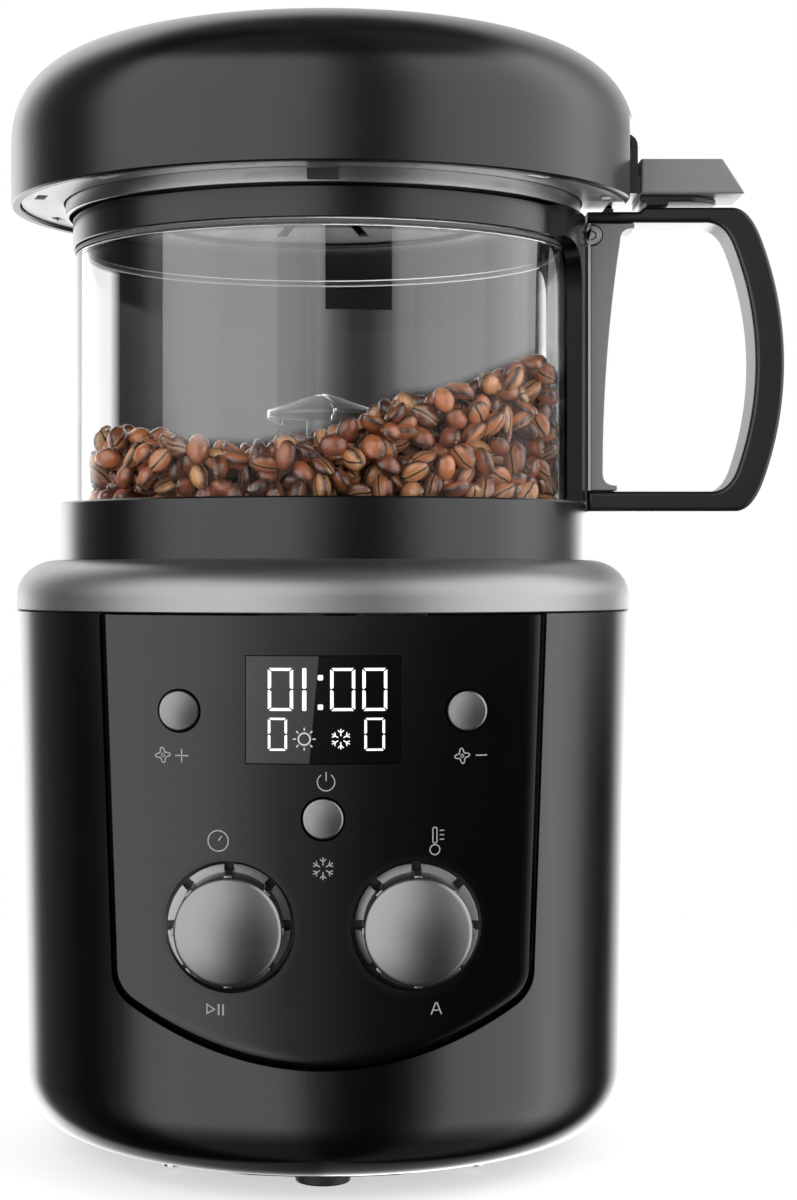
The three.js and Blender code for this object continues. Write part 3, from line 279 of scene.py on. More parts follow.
# Sizes of the base, in millimetres
housing = {"foot": 5.6, "cornerTop": 27.0, "top": 158.5, "lowRadius": 90.0, "topRadius": 92.2,
           "cornerCenter": 66.0, "cornerRun": 24.0, "cornerRise": 21.4, "cornerPower": 2.4, "wall": 2.4,
           "opening": 56.0, "lipRadius": 87.0, "lipHeight": 2.4, "glandHeight": 34.0, "glandHole": 5.3,
           "glandCut": 70}
fascia = {"depth": 1.1, "thickness": 2.6, "gap": 0.35, "roundWidth": 5.0, "roundDrop": 1.9, "halfTop": 60.9,
          "halfLow": 57.3, "halfCorner": 51.5, "dropLow": 96.9, "dropCorner": 106.1, "dropChin": 120.4,
          "roundPast": 2.0, "roundLap": 0.03, "cutSetBack": 12.0, "cutRise": 4, "topGap": 0.3, "lowGap": 6,
          "halfAngle": 46, "sides": 150, "bodyCut": -76, "plateCut": -40,
          "windowHalf": 20.7, "windowLow": 118.9, "windowHigh": 147.8, "windowThickness": 1.6, "windowGap": 0.25,
          "windowSetBack": 0.12, "windowEdge": 0.15, "windowAngle": 16, "buttonHole": 5.95, "wellRadius": 17.6,
          "wellWall": 1.3, "wellFloor": -79.0, "wellFloorThickness": 1.5, "wellSetBack": 0.05, "wellHalf": 25,
          "wellInner": 60, "wellEdge": 0.2, "wellTilt": 0.35, "wellShade": -84, "shaftHole": 3.5,
          "shaftCut": (-82, -70), "bezelRadius": 18.9,
          "reflectionLineTop": (-1.1, 147.8), "reflectionLineLow": (-3.7, 118.9)}
buttonPlaces = {"fan_plus_button": ("fan_plus", -38.5, 132.7), "fan_minus_button": ("fan_minus", 38.5, 132.7),
                "power_button": ("power", 0.0, 104.5)}
knobPlaces = {"timer": -25.0, "temperature": 25.0}
knobLevel = 75.4


# Shader helpers

# Fills a node's inputs: an output of another node is linked, a plain value is stored.
def feed(tree, item, inputs):
    for label, value in inputs.items():
        socket = item.inputs[label]
        if isinstance(value, bpy.types.NodeSocket):
            tree.links.new(value, socket)
        elif isinstance(value, tuple) and len(socket.default_value) > len(value):
            socket.default_value = (*value, 1)
        else:
            socket.default_value = value


def node(tree, kind, inputs=None, **settings):
    made = tree.nodes.new(kind)
    for key, value in settings.items():
        setattr(made, key, value)
    feed(tree, made, inputs or {})
    return made


def mathNode(tree, operation, *values, clamp=False):
    made = node(tree, "ShaderNodeMath", dict(enumerate(values)), operation=operation, use_clamp=clamp)
    return made.outputs[0]


def product(tree, *values):
    total = values[0]
    for value in values[1:]:
        total = mathNode(tree, "MULTIPLY", total, value)
    return total


def squareSum(tree, first, second):
    return mathNode(tree, "ADD", product(tree, first, first), product(tree, second, second))


def vectorNode(tree, operation, *values):
    return node(tree, "ShaderNodeVectorMath", dict(enumerate(values)), operation=operation).outputs


def axes(tree, vector):
    return node(tree, "ShaderNodeSeparateXYZ", {0: vector}).outputs


def noise(tree, vector, scale, detail=2.0, roughness=0.5):
    return node(tree, "ShaderNodeTexNoise", {"Vector": vector, "Scale": scale, "Detail": detail,
                                             "Roughness": roughness}).outputs[0]


# From nought where the value is at low to one where it is at high
def spread(tree, value, low, high, kind="LINEAR"):
    made = node(tree, "ShaderNodeMapRange", {"Value": value, "From Min": low, "From Max": high},
                interpolation_type=kind)
    return made.outputs[0]


def mixColor(tree, mask, first, second):
    return node(tree, "ShaderNodeMix", {0: mask, 6: first, 7: second}, data_type="RGBA").outputs[2]


def shades(tree, factor, stops, interpolation="LINEAR"):
    ramp = node(tree, "ShaderNodeValToRGB", {0: factor})
    ramp.color_ramp.interpolation = interpolation
    elements = ramp.color_ramp.elements
    elements.remove(elements[1])
    for i, (position, color) in enumerate(stops):
        element = elements.new(position) if i else elements[0]
        element.position = position
        element.color = (*color, 1) if isinstance(color, tuple) else (color, color, color, 1)
    return ramp.outputs[0]


def newGroup(name, inputs, outputs):
    group = bpy.data.node_groups.new(name, "ShaderNodeTree")
    for label, kind, value in inputs:
        socket = group.interface.new_socket(name=label, in_out="INPUT", socket_type="NodeSocket" + kind)
        if value is not None:
            socket.default_value = value
    for label in outputs:
        group.interface.new_socket(name=label, in_out="OUTPUT", socket_type="NodeSocketFloat")
    return group, node(group, "NodeGroupInput").outputs, node(group, "NodeGroupOutput")


moulded = {"grainScale": 2500.0, "grainDetail": 3, "cloudScale": 35.0, "cloudDetail": 4}
brush = {"scale": 900.0, "detail": 4, "roughness": 0.65}
dusting = {"scale": 160, "detail": 6, "from": 0.52, "to": 0.85, "amount": 0.3, "roughness": 0.35,
           "color": (0.35, 0.33, 0.3)}


# Fine moulded grain: a height for the bump and a mask that shifts the roughness
def mouldedGrain():
    m = moulded
    group, start, end = newGroup("moulded grain", [
        ("Vector", "Vector", None), ("Grain Scale", "Float", m["grainScale"]),
        ("Cloud Scale", "Float", m["cloudScale"])], ["Height", "Cloud"])
    feed(group, end, {"Height": noise(group, start["Vector"], start["Grain Scale"], m["grainDetail"]),
                      "Cloud": noise(group, start["Vector"], start["Cloud Scale"], m["cloudDetail"])})
    return group


# Fine lines that run round the upright axis, or along one direction, as brushing leaves them
def brushedLines():
    group, start, end = newGroup("brushed lines", [("Vector", "Vector", None), ("Stretch", "Vector", (1.0, 1.0, 1.0)),
                                                   ("Scale", "Float", brush["scale"])], ["Height"])
    stretched = vectorNode(group, "MULTIPLY", start["Vector"], start["Stretch"])[0]
    feed(group, end, {"Height": noise(group, stretched, start["Scale"], brush["detail"], brush["roughness"])})
    return group


# Thin dust and handling marks, strongest on faces that look up
def surfaceMarks():
    d = dusting
    group, start, end = newGroup("surface marks", [("Vector", "Vector", None), ("Up", "Vector", None),
                                                   ("Amount", "Float", d["amount"])], ["Mask"])
    specks = spread(group, noise(group, start["Vector"], d["scale"], d["detail"]), d["from"], d["to"])
    upward = mathNode(group, "MULTIPLY_ADD", axes(group, start["Up"])["Z"], 0.5, 0.5, clamp=True)
    mask = product(group, specks, upward)
    feed(group, end, {"Mask": mathNode(group, "MULTIPLY", mask, start["Amount"], clamp=True)})
    return group


grainGroup, brushGroup, marksGroup = mouldedGrain(), brushedLines(), surfaceMarks()


def startMaterial(name):
    material = bpy.data.materials.new(name)
    material.use_nodes = True
    tree = material.node_tree
    shader = tree.nodes["Principled BSDF"]
    place = node(tree, "ShaderNodeTexCoord").outputs["Object"]
    return material, tree, shader, place


black, mattBlack, mattRoughness, fineBump = (0.0, 0.0, 0.0), (0.001, 0.001, 0.001), 0.12, 0.0002

# Roughness as shares of a finish's own: where clouds or brushed lines are darkest, and what the brightest add
cloudRough, brushRough, brushShade = (0.85, 0.3), (0.75, 0.5), 0.12


# The plain finish that most pieces share: moulded grain, cloudy gloss and a little dust
def finish(name, color, roughness, metallic=0.0, grain=0.02, grainScale=moulded["grainScale"], cloud=0.15,
           dust=0.25, specular=0.5, brushed=None, normal=None, matt=None):
    material, tree, shader, place = startMaterial(name)
    grained = node(tree, "ShaderNodeGroup", {"Vector": place, "Grain Scale": grainScale},
                   node_tree=grainGroup).outputs
    facing = node(tree, "ShaderNodeNewGeometry").outputs["Normal"]
    marks = node(tree, "ShaderNodeGroup", {"Vector": place, "Up": facing, "Amount": dust},
                 node_tree=marksGroup).outputs["Mask"]
    darker, lighter = (tuple(min(c * (1 + change), 1) for c in color) for change in (-cloud, cloud))
    base = mixColor(tree, grained["Cloud"], darker, lighter)
    height = grained["Height"]
    start, gain = cloudRough
    rough = mathNode(tree, "MULTIPLY_ADD", grained["Cloud"], roughness * gain, roughness * start)
    if brushed:
        height = node(tree, "ShaderNodeGroup", {"Vector": place, "Stretch": brushed},
                      node_tree=brushGroup).outputs["Height"]
        base = mixColor(tree, height, mixColor(tree, brushShade, base, black), base)
        start, gain = brushRough
        rough = mathNode(tree, "MULTIPLY_ADD", height, roughness * gain, roughness * start)
    if matt:
        mask = matt(tree, place)
        base = mixColor(tree, mask, base, mattBlack)
        rough = mathNode(tree, "MULTIPLY_ADD", mask, mattRoughness, rough)
    bump = node(tree, "ShaderNodeBump", {"Strength": grain, "Distance": fineBump, "Height": height})
    if normal:
        feed(tree, bump, {"Normal": normal(tree, place)})
    feed(tree, shader, {"Base Color": mixColor(tree, marks, base, dusting["color"]),
                        "Roughness": mathNode(tree, "MULTIPLY_ADD", marks, dusting["roughness"], rough, clamp=True),
                        "Normal": bump.outputs[0], "Metallic": metallic, "Specular IOR Level": specular})
    return material


# The fascia's front is flatter than the housing it sits in: its shading normal leans forward by this much,
# less so where its rounded border turns away.
frontLean = -3.4
leanSteps = [(0.5, 0.0), (0.85, 0.147), (0.94, 0.45), (0.985, 0.85), (0.997, 1.0)]


def flatterFront(tree, place):
    facing = node(tree, "ShaderNodeNewGeometry").outputs["Normal"]
    outward = vectorNode(tree, "MULTIPLY_ADD", place, (1, 1, 0), (-axisX, -axisY, 0))[0]
    radial = vectorNode(tree, "NORMALIZE", outward)[0]
    agreement = vectorNode(tree, "DOT_PRODUCT", radial, facing)["Value"]
    share = shades(tree, agreement, leanSteps)
    lean = node(tree, "ShaderNodeCombineXYZ", {"Y": mathNode(tree, "MULTIPLY", share, frontLean)}).outputs[0]
    return vectorNode(tree, "NORMALIZE", vectorNode(tree, "ADD", facing, lean)[0])[0]


# Matt rings round the two knob wells
def bezelMask(tree, place):
    parts = axes(tree, place)
    aside = mathNode(tree, "ABSOLUTE", mathNode(tree, "SUBTRACT", parts["X"], axisX))
    across = mathNode(tree, "SUBTRACT", aside, knobPlaces["temperature"] * mm)
    up = mathNode(tree, "SUBTRACT", parts["Z"], knobLevel * mm)
    return mathNode(tree, "LESS_THAN", squareSum(tree, across, up), (fascia["bezelRadius"] * mm) ** 2)


glossBlack = finish("gloss black housing", (0.0022, 0.0022, 0.0024), 0.15, grain=0.02, cloud=0.2, dust=0.01)
panelBlack = finish("gloss black fascia", (0.002, 0.002, 0.0022), 0.08, grain=0.0, cloud=0.2, dust=0.005,
                    normal=flatterFront, matt=bezelMask)
wellBlack = finish("matt black well", (0.012, 0.012, 0.013), 0.35, grain=0.1, dust=0.02)
lidBlack = finish("satin gloss black lid", (0.003, 0.003, 0.0033), 0.22, grain=0.02, dust=0.01)
collarBlack = finish("black collar", (0.003, 0.003, 0.0033), 0.2, grain=0.03, dust=0.01)
handleBlack = finish("black handle", (0.006, 0.006, 0.0065), 0.3, grain=0.1, dust=0.01)
darkPlastic = finish("inner dark plastic", (0.02, 0.02, 0.022), 0.5, grain=0.2)
rubberFoot = finish("rubber feet", (0.007, 0.007, 0.007), 0.6, grain=0.4, grainScale=1400.0, dust=0.02)
satinSilver = finish("satin silver paint", (0.285, 0.285, 0.288), 0.4, metallic=1.0, grain=0.12, grainScale=4200.0,
                     cloud=0.02, dust=0.01)
capSilver = finish("satin knob cap", (0.22, 0.22, 0.223), 0.3, metallic=1.0, grain=0.12, grainScale=4200.0,
                   cloud=0.03, dust=0.01)
brushedSteel = finish("brushed steel liner", (0.42, 0.42, 0.42), 0.25, metallic=1.0, grain=0.12, cloud=0.05,
                      dust=0.01, brushed=(1.0, 1.0, 14.0))
polishedSteel = finish("polished steel", (0.72, 0.72, 0.72), 0.08, metallic=1.0, grain=0.01, cloud=0.04,
                       dust=0.01)
shadedSteel = finish("shaded filter steel", (0.09, 0.09, 0.09), 0.4, metallic=1.0, grain=0.1, cloud=0.1)
plateSilver = finish("bright lid plate", (0.6, 0.6, 0.6), 0.4, metallic=1.0, grain=0.1, cloud=0.04, dust=0.01)
plainSteel = finish("steel", (0.5, 0.5, 0.5), 0.3, metallic=1.0, grain=0.08, cloud=0.1, brushed=(1.0, 8.0, 1.0))
satinGrey = finish("satin grey", (0.21, 0.21, 0.212), 0.38, grain=0.15, cloud=0.03, dust=0.02)
paleSeal = finish("pale silicone", (0.07, 0.07, 0.07), 0.45, grain=0.1, cloud=0.05)
micaSheet = finish("mica", (0.5, 0.42, 0.3), 0.55, grain=0.3, grainScale=600.0, cloud=0.25)
boardGreen = finish("circuit board", (0.02, 0.1, 0.05), 0.4, grain=0.2, grainScale=700.0, cloud=0.4)
heaterWire = finish("heating wire", (0.25, 0.2, 0.17), 0.4, metallic=1.0, grain=0.2, cloud=0.3)
# The smoked window has two finishes. Left of a slanted line, the lighter base colour is a painted reflection. The
# rest has low specular, which keeps the right side dark.
smokeWindow = finish("smoked window", (0.002, 0.002, 0.0022), 0.05, grain=0.0, dust=0.0, specular=0.16,
                     normal=flatterFront)
windowReflectionFinish = finish("window side with painted reflection", (0.035, 0.035, 0.035), 0.05, grain=0.0, dust=0.0,
                    normal=flatterFront)
print("finishes made")


# Height of the coffee against the glass from side to side; the glass's painted reflection is only kept above it.
bedHeights = [(-70, 215), (-50, 212), (-37, 207), (-20, 206), (-9, 208), (2, 210), (13, 214.7), (20, 219.7),
              (29, 220.5), (38, 223), (49, 228), (62, 234), (70, 236)]

# The glass's reflection is painted on. Its coat weight is set in upright bands by side position, on the outer face of
# the front half only. Each band gives where it starts and how much of the studio the coat mirrors there. The low band
# only counts up to bandTop.
glass = {"inner": 70.8, "outer": 73.8, "low": 171.6, "high": 264.2, "edge": 0.15, "rim": 0.8,
         "clear": ((0.965, 0.97, 0.97), (0.98, 0.98, 0.98)), "clearScale": 25, "rimColor": (0.3, 0.3, 0.3),
         "edgeShadeColor": (0.01, 0.01, 0.01), "sideTurn": 0.79,
         "bands": [(-80, 0.1), (-59, 0.22), (-44.5, 1.0), (-29, 0.95), (-13, 0.77), (-4.8, 0.88), (-2, 1.0),
                   (0.3, 0.0), (18.4, 1.0), (21.5, 0.85), (24.5, 0.74), (32, 0.76), (45, 0.68), (53, 0.75)],
         "lowBand": [(-80, 0.0), (0.3, 1.0), (18.4, 0.0)], "bandTop": 241.0, "bandSpan": 160.0,
         "bedLow": 200.0, "bedSpan": 50.0, "reflectionFrom": -3.0, "reflectionTo": 1.0, "coatIor": 2.15, "ior": 1.12}


def glassMaterial():
    g = glass
    material, tree, shader, place = startMaterial("jar glass")
    parts = axes(tree, place)
    clear = mixColor(tree, noise(tree, place, g["clearScale"]), *g["clear"])
    rim = mathNode(tree, "GREATER_THAN", parts["Z"], (g["high"] - g["rim"]) * mm)
    side = mathNode(tree, "SUBTRACT", parts["X"], axisX)
    back = mathNode(tree, "SUBTRACT", parts["Y"], axisY)
    middle = (g["inner"] + g["outer"]) / 2 * mm
    outside = mathNode(tree, "GREATER_THAN", squareSum(tree, side, back), middle ** 2)
    # Painted shade: where the outer face turns away from view, the glass's colour goes near black.
    facing = node(tree, "ShaderNodeLayerWeight").outputs["Facing"]
    shadedEdge = product(tree, mathNode(tree, "GREATER_THAN", facing, g["sideTurn"]), outside)
    span = g["bandSpan"] * mm
    across = mathNode(tree, "MULTIPLY_ADD", parts["X"], 1 / span, 0.5 - axisX / span)

    def fromSide(stops, interpolation="CONSTANT"):
        return shades(tree, across, [(x / g["bandSpan"] + 0.5, level) for x, level in stops], interpolation)

    bedTop = fromSide([(x, (z - g["bedLow"]) / g["bedSpan"]) for x, z in bedHeights], "LINEAR")
    above = mathNode(tree, "MULTIPLY_ADD", bedTop, -g["bedSpan"] * mm,
                     mathNode(tree, "SUBTRACT", parts["Z"], g["bedLow"] * mm))
    # Painted reflection: the coat fades out just below the coffee line, so the glass over the coffee mirrors nothing.
    reflectionAboveBed = spread(tree, above, g["reflectionFrom"] * mm, g["reflectionTo"] * mm, "SMOOTHSTEP")
    front = mathNode(tree, "LESS_THAN", parts["Y"], axisY)
    low = mathNode(tree, "LESS_THAN", parts["Z"], g["bandTop"] * mm)
    bands = mathNode(tree, "ADD", fromSide(g["bands"]), product(tree, fromSide(g["lowBand"]), low))
    feed(tree, shader, {
        "Base Color": mixColor(tree, shadedEdge, mixColor(tree, rim, clear, g["rimColor"]), g["edgeShadeColor"]),
        "Coat Weight": mathNode(tree, "MULTIPLY", product(tree, bands, reflectionAboveBed, front), outside, clamp=True),
        "Coat IOR": g["coatIor"], "Coat Roughness": 0, "Roughness": 0, "Transmission Weight": 1, "IOR": g["ior"]})
    return material


glow = {"scale": 900, "darker": 0.93, "roughness": 0.4}


def glowMaterial(name, color, strength):
    material, tree, shader, place = startMaterial(name)
    tinted = mixColor(tree, noise(tree, place, glow["scale"]), tuple(c * glow["darker"] for c in color), color)
    feed(tree, shader, {"Base Color": tinted, "Emission Color": tinted, "Emission Strength": strength,
                        "Roughness": glow["roughness"]})
    return material


jarGlass = glassMaterial()
digitGlow = glowMaterial("display light", (0.85, 0.87, 0.88), 0.6)
sunGlow = glowMaterial("dim display light", (0.34, 0.34, 0.34), 0.8)
# The printed symbols also glow faintly, which is painted light; their grey is the print's own.
printWithGlow = glowMaterial("printed symbols with painted glow", (0.32, 0.32, 0.32), 0.05)

# Seam and husk widths are shares of a bean's half width.
roast = {"tones": [(0.0, (0.12, 0.038, 0.022)), (0.25, (0.36, 0.11, 0.05)), (0.7, (0.76, 0.26, 0.1)),
                   (1.0, (0.98, 0.52, 0.22))],
         "rimShadeColor": (0.03, 0.01, 0.007), "edgeFrom": 0.1, "edgeTo": 0.6, "edgeShare": 0.9,
         "scorchColor": (0.012, 0.005, 0.004), "scorchShare": 0.55, "scorchGain": 2.2, "scorchStart": -0.9,
         "creaseShadeColor": (0.04, 0.014, 0.009), "seamFrom": 0.13, "seamTo": 0.04, "seamWobble": 0.35,
         "huskColor": (0.75, 0.46, 0.25), "huskFrom": 0.42, "huskTo": 0.22, "huskShare": 0.45,
         "mottleScale": 900, "mottleDetail": 5, "wobbleScale": 350, "underFrom": 0.02, "roughness": 0.16,
         "roughGain": 0.2, "coat": 0.5, "coatRoughness": 0.12, "bump": 0.35, "bumpDepth": 0.0003}


def beanMaterial():
    r = roast
    material, tree, shader, place = startMaterial("roasted coffee")
    shade = node(tree, "ShaderNodeAttribute", attribute_name="beanShade").outputs["Fac"]
    parts = axes(tree, node(tree, "ShaderNodeAttribute", attribute_name="beanSpace").outputs["Vector"])
    tone = shades(tree, shade, r["tones"])
    # Painted shade: each bean is darkened round its rim, between its dome and its flat side, as shade falls between
    # beans.
    rounded = spread(tree, mathNode(tree, "ABSOLUTE", parts["Z"]), r["edgeFrom"], r["edgeTo"])
    tone = mixColor(tree, rounded, mixColor(tree, r["edgeShare"], tone, r["rimShadeColor"]), tone)
    mottle = noise(tree, place, r["mottleScale"], r["mottleDetail"])
    scorched = mathNode(tree, "MULTIPLY_ADD", mottle, r["scorchGain"], r["scorchStart"], clamp=True)
    skin = mixColor(tree, scorched, tone, mixColor(tree, r["scorchShare"], tone, r["scorchColor"]))
    wobble = mathNode(tree, "MULTIPLY_ADD", noise(tree, place, r["wobbleScale"]), r["seamWobble"],
                      -r["seamWobble"] / 2)
    across = mathNode(tree, "ABSOLUTE", mathNode(tree, "ADD", parts["X"], wobble))
    under = mathNode(tree, "LESS_THAN", parts["Z"], r["underFrom"])
    # The dark line down the crease is painted shade; the same mask dents the bump.
    seam = product(tree, spread(tree, across, r["seamFrom"], r["seamTo"]), under)
    lip = product(tree, spread(tree, across, r["huskFrom"], r["huskTo"]), under, r["huskShare"])
    husk = mixColor(tree, lip, skin, r["huskColor"])
    bump = node(tree, "ShaderNodeBump", {"Strength": r["bump"], "Distance": r["bumpDepth"],
                                         "Height": mathNode(tree, "SUBTRACT", mottle, seam)})
    feed(tree, shader, {"Base Color": mixColor(tree, seam, husk, r["creaseShadeColor"]),
                        "Roughness": mathNode(tree, "MULTIPLY_ADD", mottle, r["roughGain"], r["roughness"]),
                        "Coat Weight": r["coat"], "Coat Roughness": r["coatRoughness"],
                        "Normal": bump.outputs[0]})
    return material


coffee = beanMaterial()


# Base

def housingRadius(level):
    share = (level - housing["cornerTop"]) / (housing["top"] - housing["cornerTop"])
    return housing["lowRadius"] + (housing["topRadius"] - housing["lowRadius"]) * share


def fasciaOutline(grow, top):
    f = fascia
    low, corner, chin = (housing["top"] - f[drop] for drop in ("dropLow", "dropCorner", "dropChin"))
    halfLow, halfCorner = f["halfLow"], f["halfCorner"]
    turn = corner + (corner - chin) / (halfCorner / 2) * (halfLow - halfCorner)
    side = [(f["halfTop"], top)] + line((f["halfTop"], top), (halfLow, low), 36)
    side += curve((halfLow, low), (halfLow, turn), (halfCorner, corner), 16)
    side += curve((halfCorner, corner), (halfCorner / 2, chin), (0, chin), 24)
    moved = []
    for (x, z), before, after in zip(side, side[:1] + side, side[1:] + side[-1:]):
        run, rise = after[0] - before[0], after[1] - before[1]
        length = math.hypot(run, rise)
        moved.append((x - rise / length * grow, z + run / length * grow))
    moved[0], moved[-1] = (moved[0][0], top), (0, moved[-1][1])
    return moved + [(-x, z) for x, z in reversed(moved[:-1])]


def onFront(x, z, setBack):
    return -math.sqrt((housingRadius(z) - setBack) ** 2 - x ** 2)


# Loops of the fascia's outline, each grown and set back from the housing's front or level with the cutters' face
def fasciaRows(bm, steps, top, closed):
    rows = []
    for grow, setBack, lift in steps:
        rows.append([bm.verts.new((x, -far if setBack is None else onFront(x, z, setBack), z))
                     for x, z in fasciaOutline(grow, top + lift)])
    edges = [[bm.edges.new((row[i], row[(i + 1) % len(row)])) for i in range(len(row))] for row in rows]
    for first, second in zip(edges, edges[1:] + edges[:1] if closed else edges[1:]):
        bmesh.ops.bridge_loops(bm, edges=first + second)
    return rows


# The opening that the fascia sits in
def fasciaCutter():
    f = fascia
    bm = bmesh.new()
    rows = fasciaRows(bm, ((f["gap"], None, 0), (f["gap"], f["cutSetBack"], 0)), housing["top"] + f["cutRise"],
                      False)
    fasciaFill(bm, rows[0])
    fasciaFill(bm, rows[-1])
    bmesh.ops.recalc_face_normals(bm, faces=bm.faces)
    return bm


# What the fascia's rounded border leaves out
def fasciaRounding():
    f = fascia
    width, drop, depth, past = f["roundWidth"], f["roundDrop"], f["depth"], f["roundPast"]
    steps = [(past, None, past), (past, depth + drop, past)]
    for i in range(11):
        setBack = depth + drop * (1 - i / 10) ** 2 - (f["roundLap"] if i == 10 else 0)
        steps.append((-width * i / 10, setBack, -width * i / 10))
    steps.append((-width, None, -width))
    bm = bmesh.new()
    fasciaRows(bm, steps, housing["top"] + 10, True)
    bmesh.ops.recalc_face_normals(bm, faces=bm.faces)
    return bm


# Closes a fascia outline with level strips from side to side
def fasciaFill(bm, row):
    middle = len(row) // 2
    for i in range(middle):
        corners = list(dict.fromkeys((row[i], row[i + 1], row[len(row) - 2 - i], row[len(row) - 1 - i])))
        if len(corners) > 2:
            bm.faces.new(corners)


def makeHousing():
    h = housing
    corner = shoulder(h["cornerCenter"], -h["cornerTop"], h["cornerRun"], h["cornerRise"], h["cornerPower"])
    inner = shoulder(h["cornerCenter"], -h["cornerTop"], h["cornerRun"] - h["wall"],
                     h["cornerRise"] - h["wall"], h["cornerPower"], 8)
    outline = [(h["opening"], h["foot"])] + [(r, -z) for r, z in reversed(corner)]
    outline += [(h["topRadius"], h["top"]), (h["lipRadius"], h["top"]),
                (h["lipRadius"], h["top"] - h["lipHeight"]),
                (h["topRadius"] - h["wall"], h["top"] - h["lipHeight"])]
    outline += [(r, -z) for r, z in inner] + [(h["opening"], h["foot"] + h["wall"])]
    shell = turned(outline, large)
    cutter = together(fasciaCutter(), rod(h["glandHole"], 0, h["glandHeight"], h["glandCut"], far, 48))
    addPiece("base_shell", carved(shell, cutter), "base", glossBlack, ["base_housing"])


def makeFascia():
    f = fascia
    top = housing["top"] - f["topGap"]
    low = housing["top"] - f["dropChin"] - f["lowGap"]
    outer = [(housingRadius(z) - f["depth"], z) for z in (low, top + f["cutRise"])]
    profile = outer + [(r - f["thickness"], z) for r, z in reversed(outer)]
    plate = carved(sector(profile, -90, f["halfAngle"], f["sides"]),
                   prism(fasciaOutline(0, top), "y", -far, f["plateCut"]), "INTERSECT")
    plate = carved(plate, fasciaRounding())
    front = housingRadius(knobLevel) - f["depth"] - f["wellSetBack"]
    faceLow, faceHigh = knobLevel - f["wellHalf"], knobLevel + f["wellHalf"]
    face = box(f["wellInner"], front, faceLow, faceHigh)
    places = knobPlaces.values()
    wells = together(*[rod(f["wellRadius"] + f["wellWall"], x, knobLevel, -far,
                           f["wellFloor"] + f["wellFloorThickness"]) for x in places])
    wells = carved(wells, sector(face, -90, f["halfAngle"], f["sides"]), "INTERSECT")
    body = carved(plate, wells, "UNION")
    holes = [rod(f["wellRadius"], x, knobLevel, -far, f["wellFloor"]) for x in places]
    holes += [rod(f["buttonHole"], x, z, -far, f["bodyCut"]) for _, x, z in buttonPlaces.values()]
    half = f["windowHalf"]
    holes.append(block(-half, half, -far, f["bodyCut"], f["windowLow"], f["windowHigh"]))
    body = carved(body, together(*holes))
    body = carved(body, together(*[rod(f["shaftHole"], x, knobLevel, *f["shaftCut"], 48) for x in places]))
    piece = addPiece("fascia_panel", body, "base", panelBlack, ["control_fascia"])

    def inWell(middle, normal):
        away = min(math.hypot(middle.x - x, middle.z - knobLevel) for x in places)
        return away < f["wellRadius"] + f["wellEdge"] and (abs(normal.y) < f["wellTilt"]
                                                           or middle.y > f["wellShade"])

    useSecond(piece, wellBlack, inWell)


def makeWindow():
    f = fascia
    gap, half = f["windowGap"], f["windowHalf"] - f["windowGap"]
    pane = [(housingRadius(z) - f["depth"] - f["windowSetBack"], z)
            for z in (f["windowLow"] + gap, f["windowHigh"] - gap)]
    pane += [(r - f["windowThickness"], z) for r, z in reversed(pane)]
    window = carved(sector(pane, -90, f["windowAngle"], 64),
                    block(-half, half, -far, f["bodyCut"], f["windowLow"], f["windowHigh"]), "INTERSECT")
    roundOff(window, f["windowEdge"], 1, 40)
    # The pane is split along the slanted line where its painted reflection ends, and faces left of it get the lighter
    # finish.
    (topX, topZ), (lowX, lowZ) = f["reflectionLineTop"], f["reflectionLineLow"]
    split(window, (topX, 0, topZ), (topZ - lowZ, 0, lowX - topX))
    piece = addPiece("display_pane", window, "base", smokeWindow, ["display_window"])
    useSecond(piece, windowReflectionFinish, lambda middle, normal: middle.x < lowX + (topX - lowX) * (middle.z - lowZ)
              / (topZ - lowZ))


# Symbols that stand a hair above a curved front

def outlined(bm, points, stroke, height):
    face = bm.faces.new([bm.verts.new((x, 0, z)) for x, z in points])
    face.normal_update()
    made = bmesh.ops.inset_region(bm, faces=[face], thickness=stroke, use_even_offset=True, use_boundary=True)
    bmesh.ops.delete(bm, geom=[face], context="FACES")
    extruded(bm, made["faces"], (0, height, 0))


def filled(bm, points, height):
    face = bm.faces.new([bm.verts.new((x, 0, z)) for x, z in points])
    extruded(bm, [face], (0, height, 0))


def stroke(bm, x0, z0, x1, z1, width, height):
    run, rise = x1 - x0, z1 - z0
    length = math.hypot(run, rise)
    sideX, sideZ = -rise / length * width / 2, run / length * width / 2
    filled(bm, [(x0 - sideX, z0 - sideZ), (x1 - sideX, z1 - sideZ), (x1 + sideX, z1 + sideZ),
                (x0 + sideX, z0 + sideZ)], height)


# How far a bar's corner, its tip and its slanted end stand back, as shares of the gap, the gap and the width
barCorner, barTip, barSlant = 1.5, 0.6, 0.3


# A nought of six mitred bars, as seven-segment displays show it
def noughtBars(bm, x0, x1, z0, z1, width, gap, height):
    middle = (z0 + z1) / 2
    corner, tip, slant = gap * barCorner, gap * barTip, width * barSlant
    for outer, inner, way in ((z0, z0 + width, 1), (z1, z1 - width, -1)):
        filled(bm, [(x0 + corner, outer), (x1 - corner, outer), (x1 - width, inner - way * gap / 2),
                    (x0 + width, inner - way * gap / 2)], height)
    for outer, inner in ((x0, x0 + width), (x1, x1 - width)):
        for end, way in ((z0, 1), (z1, -1)):
            filled(bm, [(outer, end + way * corner), (inner, end + way * (width + gap / 2)),
                        (inner, middle - way * (gap + slant)), ((outer + inner) / 2, middle - way * tip),
                        (outer, middle - way * gap)], height)


